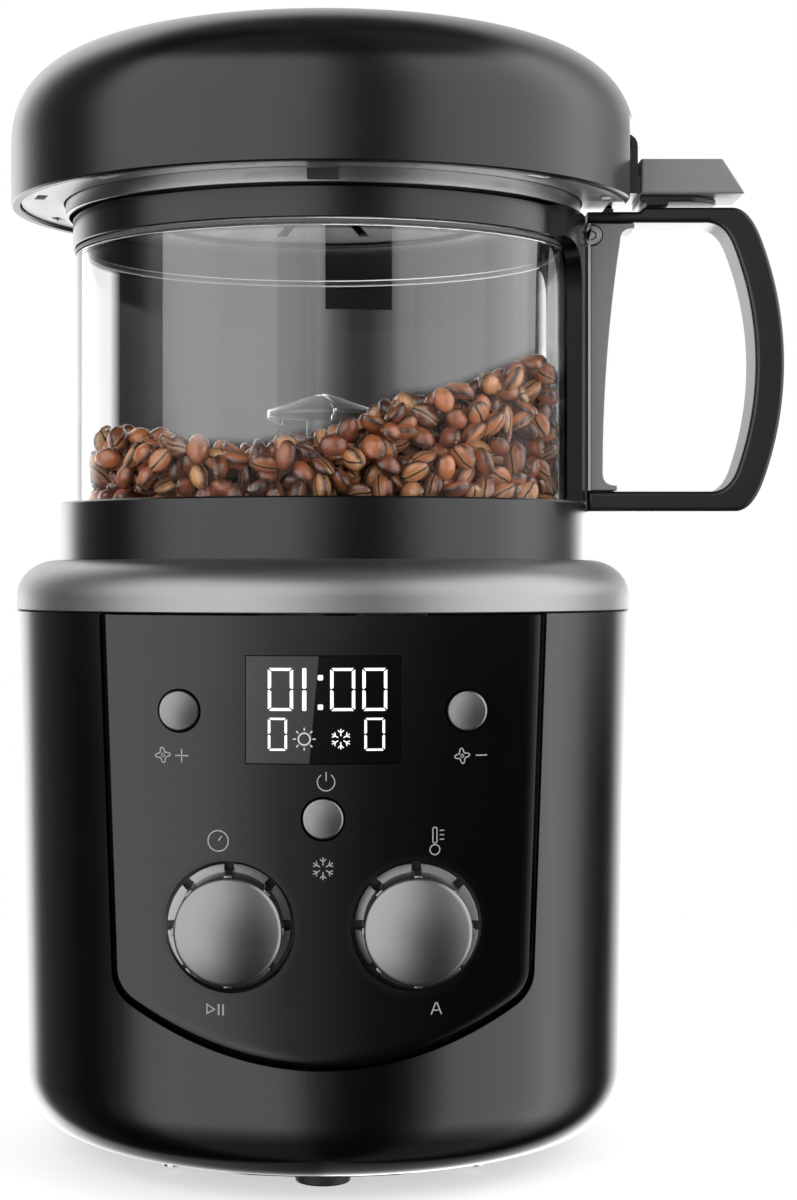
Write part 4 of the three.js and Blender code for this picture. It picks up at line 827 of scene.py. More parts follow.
def roundedBox(x0, x1, z0, z1, radius):
    points = []
    for x, z, start in ((x1 - radius, z1 - radius, 0), (x0 + radius, z1 - radius, 90),
                        (x0 + radius, z0 + radius, 180), (x1 - radius, z0 + radius, 270)):
        points += arc((x, z), radius, math.radians(start), math.radians(start + 90), 4)
    return points


# Symbols are cut into strips of this width, so that they can follow the round front.
stripWidth, stripsAside = 2.0, 24


def onPanel(bm, setBack):
    for i in range(-stripsAside, stripsAside + 1):
        split(bm, (i * stripWidth, 0, 0), (1, 0, 0))
    for v in bm.verts:
        v.co.y = onFront(v.co.x, v.co.z, setBack - v.co.y)
    bmesh.ops.recalc_face_normals(bm, faces=bm.faces)
    return bm


display = {"timeLow": 133.1, "timeHigh": 144.45, "timeStroke": 0.88,
           "timeNoughts": [(-14.6, -7.9), (1.9, 8.5), (10.4, 17.0)],
           "one": (-5.5, -4.4), "colon": (-1.4, 0), "dots": (141.9, 134.1), "dotHalf": 0.7, "round": 0.3,
           "smallLow": 122.55, "smallHigh": 131.25, "smallStroke": 0.68,
           "smallNoughts": [(-14.6, -9.5), (10.95, 16.4)],
           "barGap": 0.25, "raise": 0.12, "symbolLevel": 125.66, "sun": -4.96, "sunRadius": 1.77,
           "sunStroke": 0.4, "rays": (2.2, 3.0), "rayStroke": 0.35, "sunReach": 3.3, "snow": 4.72,
           "snowRadius": 2.7, "snowStroke": 0.28}


# Middle, fork and reach are shares of a snowflake's radius, and thinner one of its stroke.
flake = {"middle": 0.3, "fork": 0.58, "reach": 0.4, "gap": 0.25, "thinner": 0.85}


def snowflake(bm, x, z, radius, width, up):
    f = flake
    for i in range(6):
        turn = i * math.pi / 3
        s, c = math.sin(turn), math.cos(turn)
        stroke(bm, x + radius * f["middle"] * s, z + radius * f["middle"] * c, x + radius * s, z + radius * c,
               width, up)
        for side in (-1, 1):
            tip = turn + side * math.pi / 4
            forkX, forkZ = x + radius * f["fork"] * s, z + radius * f["fork"] * c
            near, reach = f["gap"], radius * f["reach"]
            stroke(bm, forkX + near * math.sin(tip), forkZ + near * math.cos(tip),
                   forkX + reach * math.sin(tip), forkZ + reach * math.cos(tip), width * f["thinner"], up)


def makeDigits():
    d = display
    bm = bmesh.new()
    up = d["raise"]
    for x0, x1 in d["timeNoughts"]:
        noughtBars(bm, x0, x1, d["timeLow"], d["timeHigh"], d["timeStroke"], d["barGap"], up)
    middle = (d["timeLow"] + d["timeHigh"]) / 2
    for low, high in ((d["timeLow"], middle - d["barGap"]), (middle + d["barGap"], d["timeHigh"])):
        filled(bm, roundedBox(*d["one"], low, high, d["round"]), up)
    for z in d["dots"]:
        filled(bm, roundedBox(*d["colon"], z - d["dotHalf"], z + d["dotHalf"], d["round"]), up)
    for x0, x1 in d["smallNoughts"]:
        noughtBars(bm, x0, x1, d["smallLow"], d["smallHigh"], d["smallStroke"], d["barGap"], up)
    level, sun = d["symbolLevel"], d["sun"]
    outlined(bm, circle(sun, level, d["sunRadius"], 24), d["sunStroke"], up)
    rayStart, rayEnd = d["rays"]
    for i in range(8):
        turn = i * math.pi / 4
        stroke(bm, sun + rayStart * math.sin(turn), level + rayStart * math.cos(turn),
               sun + rayEnd * math.sin(turn), level + rayEnd * math.cos(turn), d["rayStroke"], up)
    snowflake(bm, d["snow"], level, d["snowRadius"], d["snowStroke"], up)
    piece = addPiece("display_digits", onPanel(bm, fascia["depth"] + d["raise"]), "base", digitGlow)
    useSecond(piece, sunGlow, lambda middle, normal: abs(middle.x - sun) < d["sunReach"]
              and middle.z < level + d["sunReach"])


# Where each printed symbol stands on the panel
symbols = {"raise": 0.1, "line": 0.32, "fine": 0.3, "fans": [(-43.0, 120.75), (37.2, 120.7)], "fanRadius": 2.2,
           "power": (0.8, 114.3), "powerRadius": 2.3, "powerOpening": (125, 415),
           "snow": (0, 91.4), "snowRadius": 3.0, "snowStroke": 0.3,
           "clock": (-27.9, 98.3), "clockRadius": 2.9, "bulb": (29.8, 95.9), "bulbRadius": 1.5,
           "tube": (29.1, 30.5, 97.5, 102.0), "tubeRound": 0.6, "marks": (98.6, 99.8, 101.0),
           "markEnds": (31.1, 32.3), "markWidth": 0.26, "barEnds": (51.8, 54.8), "barWidth": 0.45,
           "triangle": [(-31.1, 51.8), (-28.6, 53.3), (-31.1, 54.8)], "bars": (-27.8, -26.6),
           "plus": [(-39.6, 120.75, -36.0, 120.75), (-37.8, 121.05, -37.8, 122.55), (-37.8, 118.95, -37.8, 120.45)],
           "minus": [(40.9, 120.7, 44.1, 120.7)], "powerBar": [(0.8, 114.6, 0.8, 117.0)],
           "clockHand": [(-27.9, 98.3, -26.9, 99.6)],
           "letter": [(28.8, 51.9, 30.05, 55.1, 0.36), (31.6, 51.9, 30.35, 55.1, 0.36),
                      (29.5, 53.0, 30.9, 53.0, 0.3)]}


# A four-bladed fan; blade and hub are shares of its radius.
fanShape = {"middle": 0.76, "blade": 0.24, "lean": 0.5, "hub": 0.24, "hubStroke": 0.2}


def fanSymbol(bm, x, z, radius, up):
    f = fanShape
    outline = []
    for i in range(48):
        turn = i * math.pi / 24
        reach = radius * (f["middle"] + f["blade"] * math.cos(turn * 4 + f["lean"]))
        outline.append((x + reach * math.sin(turn), z + reach * math.cos(turn)))
    outlined(bm, outline, symbols["fine"], up)
    outlined(bm, circle(x, z, radius * f["hub"], 12), f["hubStroke"], up)


def makeSymbols():
    s = symbols
    bm = bmesh.new()
    up, thin = s["raise"], s["line"]
    for x, z in s["fans"]:
        fanSymbol(bm, x, z, s["fanRadius"], up)
    ringPoints = arc(s["power"], s["powerRadius"], *map(math.radians, s["powerOpening"]), 22)
    ringStrokes = [first + second for first, second in zip(ringPoints, ringPoints[1:])]
    for ends in s["plus"] + s["minus"] + ringStrokes + s["powerBar"] + s["clockHand"]:
        stroke(bm, *ends, thin, up)
    snowflake(bm, *s["snow"], s["snowRadius"], s["snowStroke"], up)
    outlined(bm, circle(*s["clock"], s["clockRadius"], 28), thin, up)
    outlined(bm, circle(*s["bulb"], s["bulbRadius"], 18), thin, up)
    outlined(bm, roundedBox(*s["tube"], s["tubeRound"]), s["fine"], up)
    (markStart, markEnd), (barStart, barEnd) = s["markEnds"], s["barEnds"]
    for z in s["marks"]:
        stroke(bm, markStart, z, markEnd, z, s["markWidth"], up)
    outlined(bm, s["triangle"], s["fine"], up)
    for x in s["bars"]:
        stroke(bm, x, barStart, x, barEnd, s["barWidth"], up)
    for letterStroke in s["letter"]:
        stroke(bm, *letterStroke, up)
    addPiece("panel_symbols", onPanel(bm, fascia["depth"]), "base", printWithGlow)


# Buttons and knobs

button = {"radius": 5.5, "dome": 0.35, "domeShare": 0.4, "roll": 0.9, "proud": 0.2, "stemRadius": 1.8, "edge": 0.3}


def alongFront(bm, x, y, z):
    bmesh.ops.rotate(bm, cent=(0, 0, 0), matrix=Matrix.Rotation(math.pi / 2, 3, "X"), verts=bm.verts)
    bmesh.ops.translate(bm, vec=(x, y, z), verts=bm.verts)
    return bm


def makeButtons():
    b = button
    for name, (body, x, z) in buttonPlaces.items():
        back = (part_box(name)[1][1] - axisY) / mm
        depth = back - onFront(x, z, fascia["depth"]) + b["proud"]
        half = depth / 2
        outline = [(0, 0), (b["stemRadius"], 0), (b["stemRadius"], half), (b["radius"] - b["edge"], half)]
        outline += [(b["radius"], half + b["edge"]), (b["radius"], depth - b["roll"])]
        rolled = (b["radius"] - b["roll"], depth)
        outline += curve(outline[-1], (b["radius"], depth), rolled, 8)
        outline += curve(rolled, (b["radius"] * b["domeShare"], depth + b["dome"]), (0, depth + b["dome"]), 10)
        addPiece(name + "_cap", alongFront(turned(outline, small), x, back, z), body, capSilver,
                 [name], smooth=40)


knob = {"rimBack": -80.4, "rimRadius": 16.6, "rimThickness": 2.0, "rimBore": 3.5, "notches": 8,
        "notchWidth": 2.4, "notchDepth": 1.9, "notchPast": 3, "steps": 144, "capBack": -82.7, "capRadius": 14.3,
        "capLength": 15.3, "bow": 46.0, "roll": 1.3, "ribDrop": 2.6, "ribWidth": 2.2, "ribReach": 0.5, "edge": 0.3,
        "bore": 3.3, "boreDepth": 10.3}


def makeKnobs():
    k = knob
    for side, x in knobPlaces.items():
        body = side + "_knob"
        edge, half = k["edge"], k["notchWidth"] / 2
        rim = turned(box(k["rimBore"], k["rimRadius"], 0, k["rimThickness"]), k["steps"])
        notch = block(k["rimRadius"] - k["notchDepth"], k["rimRadius"] + k["notchPast"], -half, half, -1,
                      k["rimThickness"] + 1)
        rim = carved(rim, arrayed(notch, k["notches"], math.pi / 2))
        roundOff(rim, edge, 2, 40)
        addPiece(side + "_notched_rim", alongFront(rim, x, k["rimBack"], knobLevel), body, satinSilver,
                 [side + "_rim"])
        radius, roll, bow = k["capRadius"], k["roll"], k["bow"]
        tip, crown = k["capLength"] + edge, radius - roll
        drop = bow - math.sqrt(bow ** 2 - crown ** 2)
        outline = [(0, 0), (radius, 0), (radius, tip - drop - roll)]
        outline += curve(outline[-1], (radius, tip - drop - edge), (crown, tip - drop), 7)
        radii = [crown * (1 - i / 16) for i in range(1, 17)]
        outline += [(r, tip - bow + math.sqrt(bow ** 2 - r ** 2)) for r in radii]
        cap = turned(outline, k["steps"])
        half = k["ribWidth"] / 2
        rib = block(radius - k["ribReach"], radius + k["ribReach"], -half, half, 0, k["capLength"] - k["ribDrop"])
        roundOff(rib, edge, 2, 40)
        cap = carved(cap, arrayed(rib, k["notches"], math.pi / 2), "UNION")
        cap = carved(cap, turned(box(0, k["bore"], -1, k["boreDepth"]), 48))
        addPiece(side + "_grip_cap", alongFront(cap, x, k["capBack"], knobLevel), body, capSilver,
                 [side + "_cap"])


topRing = {"bottom": 158.8, "straightTop": 163.0, "radius": 91.3, "mouth": 79.2, "top": 173.4, "wall": 2.0,
           "seat": 167.8, "edge": 0.3}


def makeTopRing():
    t = topRing
    run, rise = t["radius"] - t["mouth"], t["top"] - t["straightTop"]
    outer = shoulder(t["mouth"], t["straightTop"], run, rise, 2, 32)
    inner = shoulder(t["mouth"] + t["wall"], t["straightTop"], run - 2 * t["wall"], rise - t["wall"], 2, 8)
    outline = [(t["radius"] - t["edge"], t["bottom"]), (t["radius"], t["bottom"] + t["edge"])] + outer
    outline += [(t["mouth"], t["seat"]), (t["mouth"] + t["wall"], t["seat"])]
    outline += list(reversed(inner)) + [(t["radius"] - t["wall"], t["bottom"])]
    addPiece("silver_top_ring", turned(outline, large), "base", satinSilver, ["top_ring"])


foot = {"radius": 7.8, "height": 3.1, "edge": 0.8, "dish": 0.25, "dishInner": 2.4, "dishOuter": 2.2}


def makeFeet():
    r, h, e, dish = foot["radius"], foot["height"], foot["edge"], foot["dish"]
    for name in sorted(n for n in frame["nodes"] if "foot" in n):
        low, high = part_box(name)
        x = ((low[0] + high[0]) / 2 - axisX) / mm
        y = ((low[1] + high[1]) / 2 - axisY) / mm
        bm = turned([(0, dish), (r - foot["dishInner"], dish), (r - foot["dishOuter"], 0)]
                    + curve((r - e, 0), (r, 0), (r, e), 6) + [(r, h), (0, h)], 64)
        bmesh.ops.translate(bm, vec=(x, y, 0), verts=bm.verts)
        addPiece(name + "_pad", bm, "base", rubberFoot, [name])


makeHousing()
makeFascia()
makeWindow()
makeDigits()
makeSymbols()
makeButtons()
makeKnobs()
makeTopRing()
makeFeet()
print("base made")


# Jar

collar = {"lowerInner": 66.0, "lowerRadius": 78.5, "bottom": 167.8, "ledge": 169.8, "bore": 74.1, "lowerTop": 190.4,
          "upperInner": 70.8, "upperRadius": 74.8, "upperBottom": 266.0, "upperTop": 274.8,
          "pillarInner": 74.3, "pillarFoot": 190.7, "pillarHalf": 20.3, "headHalf": 37.0, "flare": 14.0,
          "pillarAngle": 32, "pillarCut": 40, "foot": 1.0, "edge": 0.5, "smallEdge": 0.3, "boreEdge": 0.2}


def makeCollars():
    c = collar
    radius, top, foot, edge, small, lead = (c[key] for key in ("lowerRadius", "lowerTop", "foot", "edge",
                                                               "smallEdge", "boreEdge"))
    outline = [(c["lowerInner"], c["bottom"]), (radius - foot, c["bottom"]), (radius, c["bottom"] + foot),
               (radius, top - edge), (radius - edge, top), (c["bore"] + lead, top), (c["bore"], top - lead),
               (c["bore"], c["ledge"]), (c["lowerInner"], c["ledge"])]
    addPiece("lower_band", turned(outline, large), "jar", collarBlack, ["lower_collar"])
    half, head = c["pillarHalf"], c["headHalf"]
    side = [(half, c["pillarFoot"]), (half, c["upperBottom"] - c["flare"])]
    side += curve(side[-1], (half, c["upperBottom"]), (head, c["upperBottom"]), 16) + [(head, c["upperTop"])]
    shape = side + [(-y, z) for y, z in reversed(side)]
    wall = box(c["pillarInner"], radius, c["pillarFoot"], c["upperTop"])
    strip = carved(sector(wall, 0, c["pillarAngle"], 90), prism(shape, "x", c["pillarCut"], far), "INTERSECT")
    radius, low, top = c["upperRadius"], c["upperBottom"], c["upperTop"]
    ring = turned([(c["upperInner"], low), (radius - small, low), (radius, low + small), (radius, top - edge),
                   (radius - edge, top), (c["upperInner"], top)], large)
    band = carved(ring, strip, "UNION")
    addPiece("upper_band", band, "jar", collarBlack, ["upper_collar"])


seal = {"inner": 70.8, "outer": 74.1, "low": 264.5, "high": 265.7, "edge": 0.2}


def makeGlass():
    g = glass
    bm = turned(box(g["inner"], g["outer"], g["low"], g["high"]), large, g["edge"], 1)
    addPiece("jar_glass", bm, "jar", jarGlass, ["glass_cylinder"])
    s = seal
    ring = turned(box(s["inner"], s["outer"], s["low"], s["high"]), medium, s["edge"], 1)
    addPiece("upper_seal_ring", ring, "jar", paleSeal, ["upper_glass_seal"])


deflector = {"outline": [(0, 171.9), (10, 171.9), (6.2, 173.5), (5, 176.9), (5, 215.5), (16.5, 216.7),
                         (16.5, 217.9), (5, 222.3), (2.5, 222.75), (0, 222.9)],
             "rib": [(1, 221.7), (1, 223.5), (16.3, 218.8), (17, 218.1), (17, 215.9), (12.5, 213.7),
                     (12.5, 217.9)],
             "ribs": 4, "ribTurn": 12, "ribHalf": 0.6, "edge": 0.2, "ribEdge": 0.3}


def makeDeflector():
    d = deflector
    bm = turned(d["outline"], small)
    roundOff(bm, d["edge"], 1, 40)
    rib = prism(d["rib"], "y", -d["ribHalf"], d["ribHalf"])
    roundOff(rib, d["ribEdge"], 2, 40)
    for face in rib.faces:
        face.material_index = 1
    bm = together(bm, arrayed(rib, d["ribs"], math.radians(d["ribTurn"])))
    piece = addPiece("deflector_cone", bm, "jar", shadedSteel, ["air_deflector"])
    piece.data.materials.append(polishedSteel)


makeCollars()
makeGlass()
makeDeflector()
print("jar made")


# Handle

handle = {"start": 78.8, "top": 278.4, "bottom": 187.9, "reach": 137.3, "grip": 104.0, "centerLevel": 232.2,
          "thickness": 8.7, "topBar": 4.6, "bottomBar": 6.0, "cornerDrop": 9.7, "cornerRun": 8.7,
          "leans": (3.63, 3.42, 2.43, 2.73), "innerDrop": 7.0, "innerRun": 8.0, "underLid": 1.3,
          "bracketStart": 94.2, "half": 9.0, "edge": 1.4,
          "spineHigh": 273.5, "spineLow": 194.2, "spineReachLow": 83.2, "spineReachTop": 88.4, "spineFlare": 4.2,
          "spineRise": 5.0, "spineTip": 1.4, "spineEdge": 0.5, "screwReach": 79.9, "screwLevel": 270.0,
          "screwHole": 3.3, "screwCut": -12, "stripEnd": 79.55, "stripGap": 0.02}


def gripPoint(radius, level):
    h = handle
    return h["reach"] - h["grip"] + math.sqrt(radius ** 2 - (level - h["centerLevel"]) ** 2)


def gripArc(radius, start, end, steps):
    h = handle
    first = math.asin((start - h["centerLevel"]) / radius)
    last = math.asin((end - h["centerLevel"]) / radius)
    return arc((h["reach"] - h["grip"], h["centerLevel"]), radius, first, last, steps)


def makeHandle():
    h = handle
    top, bottom, inner = h["top"], h["bottom"], h["grip"] - h["thickness"]
    outerTop, outerLow = top - h["cornerDrop"], bottom + h["cornerDrop"]
    barLow, barHigh = top - h["topBar"], bottom + h["bottomBar"]
    innerTop, innerLow = barLow - h["innerDrop"], barHigh + h["innerDrop"]
    topReach, lowReach = gripPoint(h["grip"], outerTop), gripPoint(h["grip"], outerLow)
    innerTopReach, innerLowReach = gripPoint(inner, innerTop), gripPoint(inner, innerLow)
    points = [(h["start"], top - h["underLid"]), (h["bracketStart"], top - h["underLid"]),
              (h["bracketStart"] + h["underLid"], top), (topReach - h["cornerRun"], top)]
    outerTopLean, outerLowLean, innerLowLean, innerTopLean = h["leans"]
    points += curve(points[-1], (topReach - outerTopLean, top), (topReach, outerTop), 10)
    points += gripArc(h["grip"], outerTop, outerLow, 30)[1:]
    points += curve(points[-1], (lowReach - outerLowLean, bottom), (lowReach - h["cornerRun"], bottom), 10)
    points += [(h["start"], bottom), (h["start"], barHigh), (innerLowReach - h["innerRun"], barHigh)]
    points += curve(points[-1], (innerLowReach - innerLowLean, barHigh), (innerLowReach, innerLow), 10)
    points += gripArc(inner, innerLow, innerTop, 24)[1:]
    points += curve(points[-1], (innerTopReach - innerTopLean, barLow), (innerTopReach - h["innerRun"], barLow), 10)
    points += [(h["start"], barLow)]
    addPiece("handle_grip", slab(points, h["half"], h["edge"]), "jar", handleBlack,
             ["handle_shell"], flatten=True)
    # A thin bright strip stands for the highlight along the pillar's edge: a painted highlight.
    strip = block(h["start"], h["stripEnd"] - h["stripGap"], -h["half"], h["half"], h["spineLow"], h["spineHigh"])
    addPiece("handle_highlight_strip", strip, "jar", plateSilver)
    high, low = h["spineHigh"], h["spineLow"]
    reachLow, reachTop, flare = h["spineReachLow"], h["spineReachTop"], h["spineFlare"]
    tip = high - h["spineTip"]
    points = [(h["stripEnd"], low), (reachLow + flare, low), (reachLow + flare, low + h["spineTip"])]
    points += curve(points[-1], (reachLow, low + h["spineTip"]), (reachLow, low + h["spineRise"]), 8)
    points += curve(points[-1], (reachLow, (low + high) / 2), (reachTop, high - h["spineRise"]), 14)
    points += curve(points[-1], (reachTop, tip), (reachTop + flare, tip), 8)
    points += [(reachTop + flare, high), (h["stripEnd"], high)]
    spine = slab(points, h["half"], h["spineEdge"], 2)
    spine = carved(spine, rod(h["screwHole"], h["screwReach"], h["screwLevel"], h["screwCut"], 0, 64))
    addPiece("handle_back_strap", spine, "jar", satinGrey, ["handle_spine"], flatten=True)


makeHandle()
for name, width, material, slotName in (("handle_screw", 0.35, plainSteel, "steel"),
                                        ("hinge_bracket", 0.35, satinGrey, "satin_grey"),
                                        ("bracket_underplate", 0.35, handleBlack, "black_plastic"),
                                        ("hinge_yoke", 0.35, handleBlack, "black_plastic"),
                                        ("hinge_pin", 0.2, plainSteel, "steel"),
                                        ("chamber_floor", 0.35, plainSteel, "steel")):
    softCopy(name, "jar", width, material)
print("handle made")


# Lid

lid = {"rim": 278.1, "foot": 295.2, "center": 48.1, "run": 45.0, "rise": 30.5, "power": 2.45, "top": 329.7,
       "wall": 2.6, "notchStart": 84.8, "notchHalf": 12.8, "notchTop": 301.2, "hingeReach": 89.8,
       "hingeLevel": 296.2, "knuckle": 3.4, "knuckleHalf": 8.0, "lugOver": 1.6, "pinHole": 1.6, "pinCut": 12,
       "rimEdge": 0.5, "linerEdge": 0.15, "seatEdge": 0.2, "slotPast": 9, "crownJoin": 64.0,
       "flatReach": 88.9, "flatTop": 302.9, "flatHalf": 46.5, "crownEdge": 324.68, "cutLow": 260,
       "plateInner": 77.5, "plateOuter": 90.1, "plateLow": 279.2, "plateHigh": 281.2, "plateEdge": 0.25,
       "vents": 12, "ventRadius": 85.05, "ventHalf": 1.5, "ventReach": 4,
       "liner": [(75.9, 275.1), (77, 275.1), (77, 281.8), (77.9, 281.8), (77.9, 283), (77, 283), (77, 291.1),
                 (68, 291.1), (68, 290), (75.9, 290)],
       "filterSeat": [(50, 273.7), (70, 273.7), (70, 289.7), (68.8, 289.7), (68.8, 274.9), (50, 274.9)]}


def makeLid():
    d = lid
    outer = [p for p in shoulder(d["center"], d["foot"], d["run"], d["rise"], d["power"], 48)
             if p[0] > d["crownJoin"] + 1]
    bow = (d["top"] - d["crownEdge"]) / d["crownJoin"] ** 2
    crown = [(d["crownJoin"] * (1 - i / 16), d["top"] - bow * (d["crownJoin"] * (1 - i / 16)) ** 2)
             for i in range(17)]
    inner = shoulder(d["center"], d["foot"], d["run"] - d["wall"], d["rise"] - d["wall"], d["power"], 16)
    edge = d["center"] + d["run"]
    outline = [(0, d["top"] - d["wall"])] + list(reversed(inner))
    outline += [(edge - d["wall"], d["rim"]), (edge - d["rimEdge"], d["rim"]), (edge, d["rim"] + d["rimEdge"])]
    shell = turned(outline + outer + crown, large)
    start, half, flat, flatHalf, cutLow = (d[key] for key in ("notchStart", "notchHalf", "flatReach", "flatHalf",
                                                              "cutLow"))
    shell = carved(shell, block(start, far, -half, half, cutLow, d["notchTop"]))
    shell = carved(shell, block(flat, far, -flatHalf, flatHalf, cutLow, d["flatTop"]))
    reach, level, wide = d["hingeReach"], d["hingeLevel"], d["knuckleHalf"]
    lug = carved(rod(d["knuckle"], reach, level, -wide, wide, 48),
                 block(reach - d["knuckle"], reach, -wide, wide, level, d["notchTop"] + d["lugOver"]), "UNION")
    shell = carved(shell, lug, "UNION")
    shell = carved(shell, rod(d["pinHole"], reach, level, -d["pinCut"], d["pinCut"], 32))
    addPiece("lid_dome", shell, "lid", lidBlack, ["lid_shell"])
    plate = turned(box(d["plateInner"], d["plateOuter"], d["plateLow"], d["plateHigh"]))
    slotLow, slotHigh = d["plateLow"] - d["slotPast"], d["plateHigh"] + d["slotPast"]
    vent = block(d["ventRadius"] - d["ventHalf"], d["ventRadius"] + d["ventHalf"], -d["ventReach"], d["ventReach"],
                 slotLow, slotHigh)
    plate = carved(plate, arrayed(vent, d["vents"], math.pi / d["vents"]))
    plate = carved(plate, block(start, far, -half, half, slotLow, slotHigh))
    plate = carved(plate, block(flat, far, -flatHalf, flatHalf, slotLow, slotHigh))
    roundOff(plate, d["plateEdge"], 2, 50)
    addPiece("lid_bottom_plate", plate, "lid", plateSilver, ["lid_underplate"])
    liner = turned(d["liner"], large, d["linerEdge"], 1)
    addPiece("liner_band", liner, "lid", brushedSteel, ["lid_liner"])
    seat = turned(d["filterSeat"], medium, d["seatEdge"], 1)
    addPiece("filter_seat", seat, "lid", shadedSteel, ["filter_flange"])


makeLid()
softCopy("lid_catch", "lid", 0.3, darkPlastic)
softCopy("chaff_filter", "lid", 0.2, shadedSteel)
print("lid made")


# Other visible CAD pieces: rounded copies outside, new finishes inside

for name, width, material, slotName in (("jar_seat", 0.35, darkPlastic, "dark_plastic"),
                                        ("bottom_cover", 0.3, darkPlastic, "dark_plastic"),
                                        ("cord_gland", 0.35, rubberFoot, "rubber")):
    softCopy(name, "base", width, material)

finishBySlot = {"black_plastic": darkPlastic, "panel_gloss": panelBlack, "display_smoke": smokeWindow,
                "dark_plastic": darkPlastic, "circuit_board": boardGreen, "satin_silver": satinSilver,
                "satin_button": capSilver, "steel": plainSteel, "mica": micaSheet, "rubber": rubberFoot,
                "pale_seal": paleSeal, "satin_grey": satinGrey, "clear_glass": jarGlass}
finishByNode = {"heater_winding": heaterWire}
for entry in frame["record"]["subparts"]:
    part = frame["nodes"][entry["node"]]
    part.data.materials.clear()
    part.data.materials.append(finishByNode.get(entry["node"]) or finishBySlot[entry["material_slot"]])
print("inner pieces finished")


# Coffee

# The beans fill the jar from the floor up near the glass, and are only a layer on top in the core.
coffeeBed = {"seed": 7, "count": 1300, "reach": 67.6, "coreReach": 48.0, "floor": 187.0, "highest": 236,
             "topGap": 3, "coreDepth": 9, "spacing": 6.3, "rounds": 80, "push": 0.22, "stemReach": 9,
             "stemPush": 1.2, "length": 8.4, "width": 6.5, "dome": 3.1, "underShare": 0.55, "seamHalf": 0.12,
             "seamShare": 0.4, "vary": 0.09, "wall": 70.5}


def oneBean():
    b = coffeeBed
    bm = bmesh.new()
    bmesh.ops.create_uvsphere(bm, u_segments=10, v_segments=7, radius=1)
    bmesh.ops.rotate(bm, cent=(0, 0, 0), matrix=Matrix.Rotation(math.pi / 2, 3, "X"), verts=bm.verts)
    space = bm.verts.layers.float_vector.new("beanSpace")
    bm.verts.layers.float.new("beanShade")
    for v in bm.verts:
        v[space] = v.co
        if v.co.z < 0:
            v.co.z *= b["seamShare"] if abs(v.co.x) < b["seamHalf"] else b["underShare"]
    bmesh.ops.scale(bm, vec=(b["width"] / 2, b["length"] / 2, b["dome"]), verts=bm.verts)
    return asMesh(bm, "bean")


def packBeans():
    b = coffeeBed
    random = numpy.random.default_rng(b["seed"])
    xs = numpy.array([x for x, _ in bedHeights], dtype=float)
    zs = numpy.array([z for _, z in bedHeights], dtype=float)
    points = []
    while len(points) < b["count"]:
        x, y = random.uniform(-b["reach"], b["reach"], 2)
        distance = math.hypot(x, y)
        if distance > b["reach"]:
            continue
        top = numpy.interp(x, xs, zs) - b["topGap"]
        low = b["floor"] if distance > b["coreReach"] else top - b["coreDepth"]
        z = random.uniform(b["floor"], b["highest"])
        if low <= z <= top:
            points.append((x, y, z))
    points = numpy.array(points, dtype=numpy.float32)
    core = numpy.hypot(points[:, 0], points[:, 1]) <= b["coreReach"]
    for _ in range(b["rounds"]):
        gap = points[:, None, :] - points[None, :, :]
        distance = numpy.sqrt((gap ** 2).sum(axis=2)) + 1e-6
        overlap = numpy.clip(b["spacing"] - distance, 0, None)
        numpy.fill_diagonal(overlap, 0)
        points += (gap / distance[:, :, None] * overlap[:, :, None]).sum(axis=1) * b["push"]
        away = numpy.hypot(points[:, 0], points[:, 1])
        scale = numpy.minimum(1, b["reach"] / numpy.maximum(away, 1e-6))
        points[:, 0] *= scale
        points[:, 1] *= scale
        top = numpy.interp(points[:, 0], xs, zs) - b["topGap"]
        low = numpy.where(core, top - b["coreDepth"], b["floor"])
        points[:, 2] = numpy.clip(points[:, 2], low, top)
        nearStem = numpy.hypot(points[:, 0], points[:, 1]) < b["stemReach"]
        points[nearStem, :2] *= b["stemPush"]
    return points, random


def makeBeans():
    b = coffeeBed
    bean = oneBean()
    centers, random = packBeans()
    bm = bmesh.new()
    for center in centers:
        first = len(bm.verts)
        bm.from_mesh(bean)
        bm.verts.ensure_lookup_table()
        added = bm.verts[first:]
        size = random.uniform(1 - b["vary"], 1 + b["vary"])
        turn = Quaternion(random.normal(size=4)).normalized()
        placing = Matrix.Translation(Vector(center)) @ turn.to_matrix().to_4x4() @ Matrix.Scale(size, 4)
        bmesh.ops.transform(bm, matrix=placing, verts=added)
        tone = random.uniform(0.0, 1.0)
        shade = bm.verts.layers.float["beanShade"]
        for v in added:
            v[shade] = tone
    bpy.data.meshes.remove(bean)
    for v in bm.verts:
        pull = min(1, b["wall"] / max(math.hypot(v.co.x, v.co.y), 1e-6))
        v.co.x *= pull
        v.co.y *= pull
    addPiece("coffee_beans", bm, "jar", coffee, smooth=180)


makeBeans()
print("coffee made")


# Studio

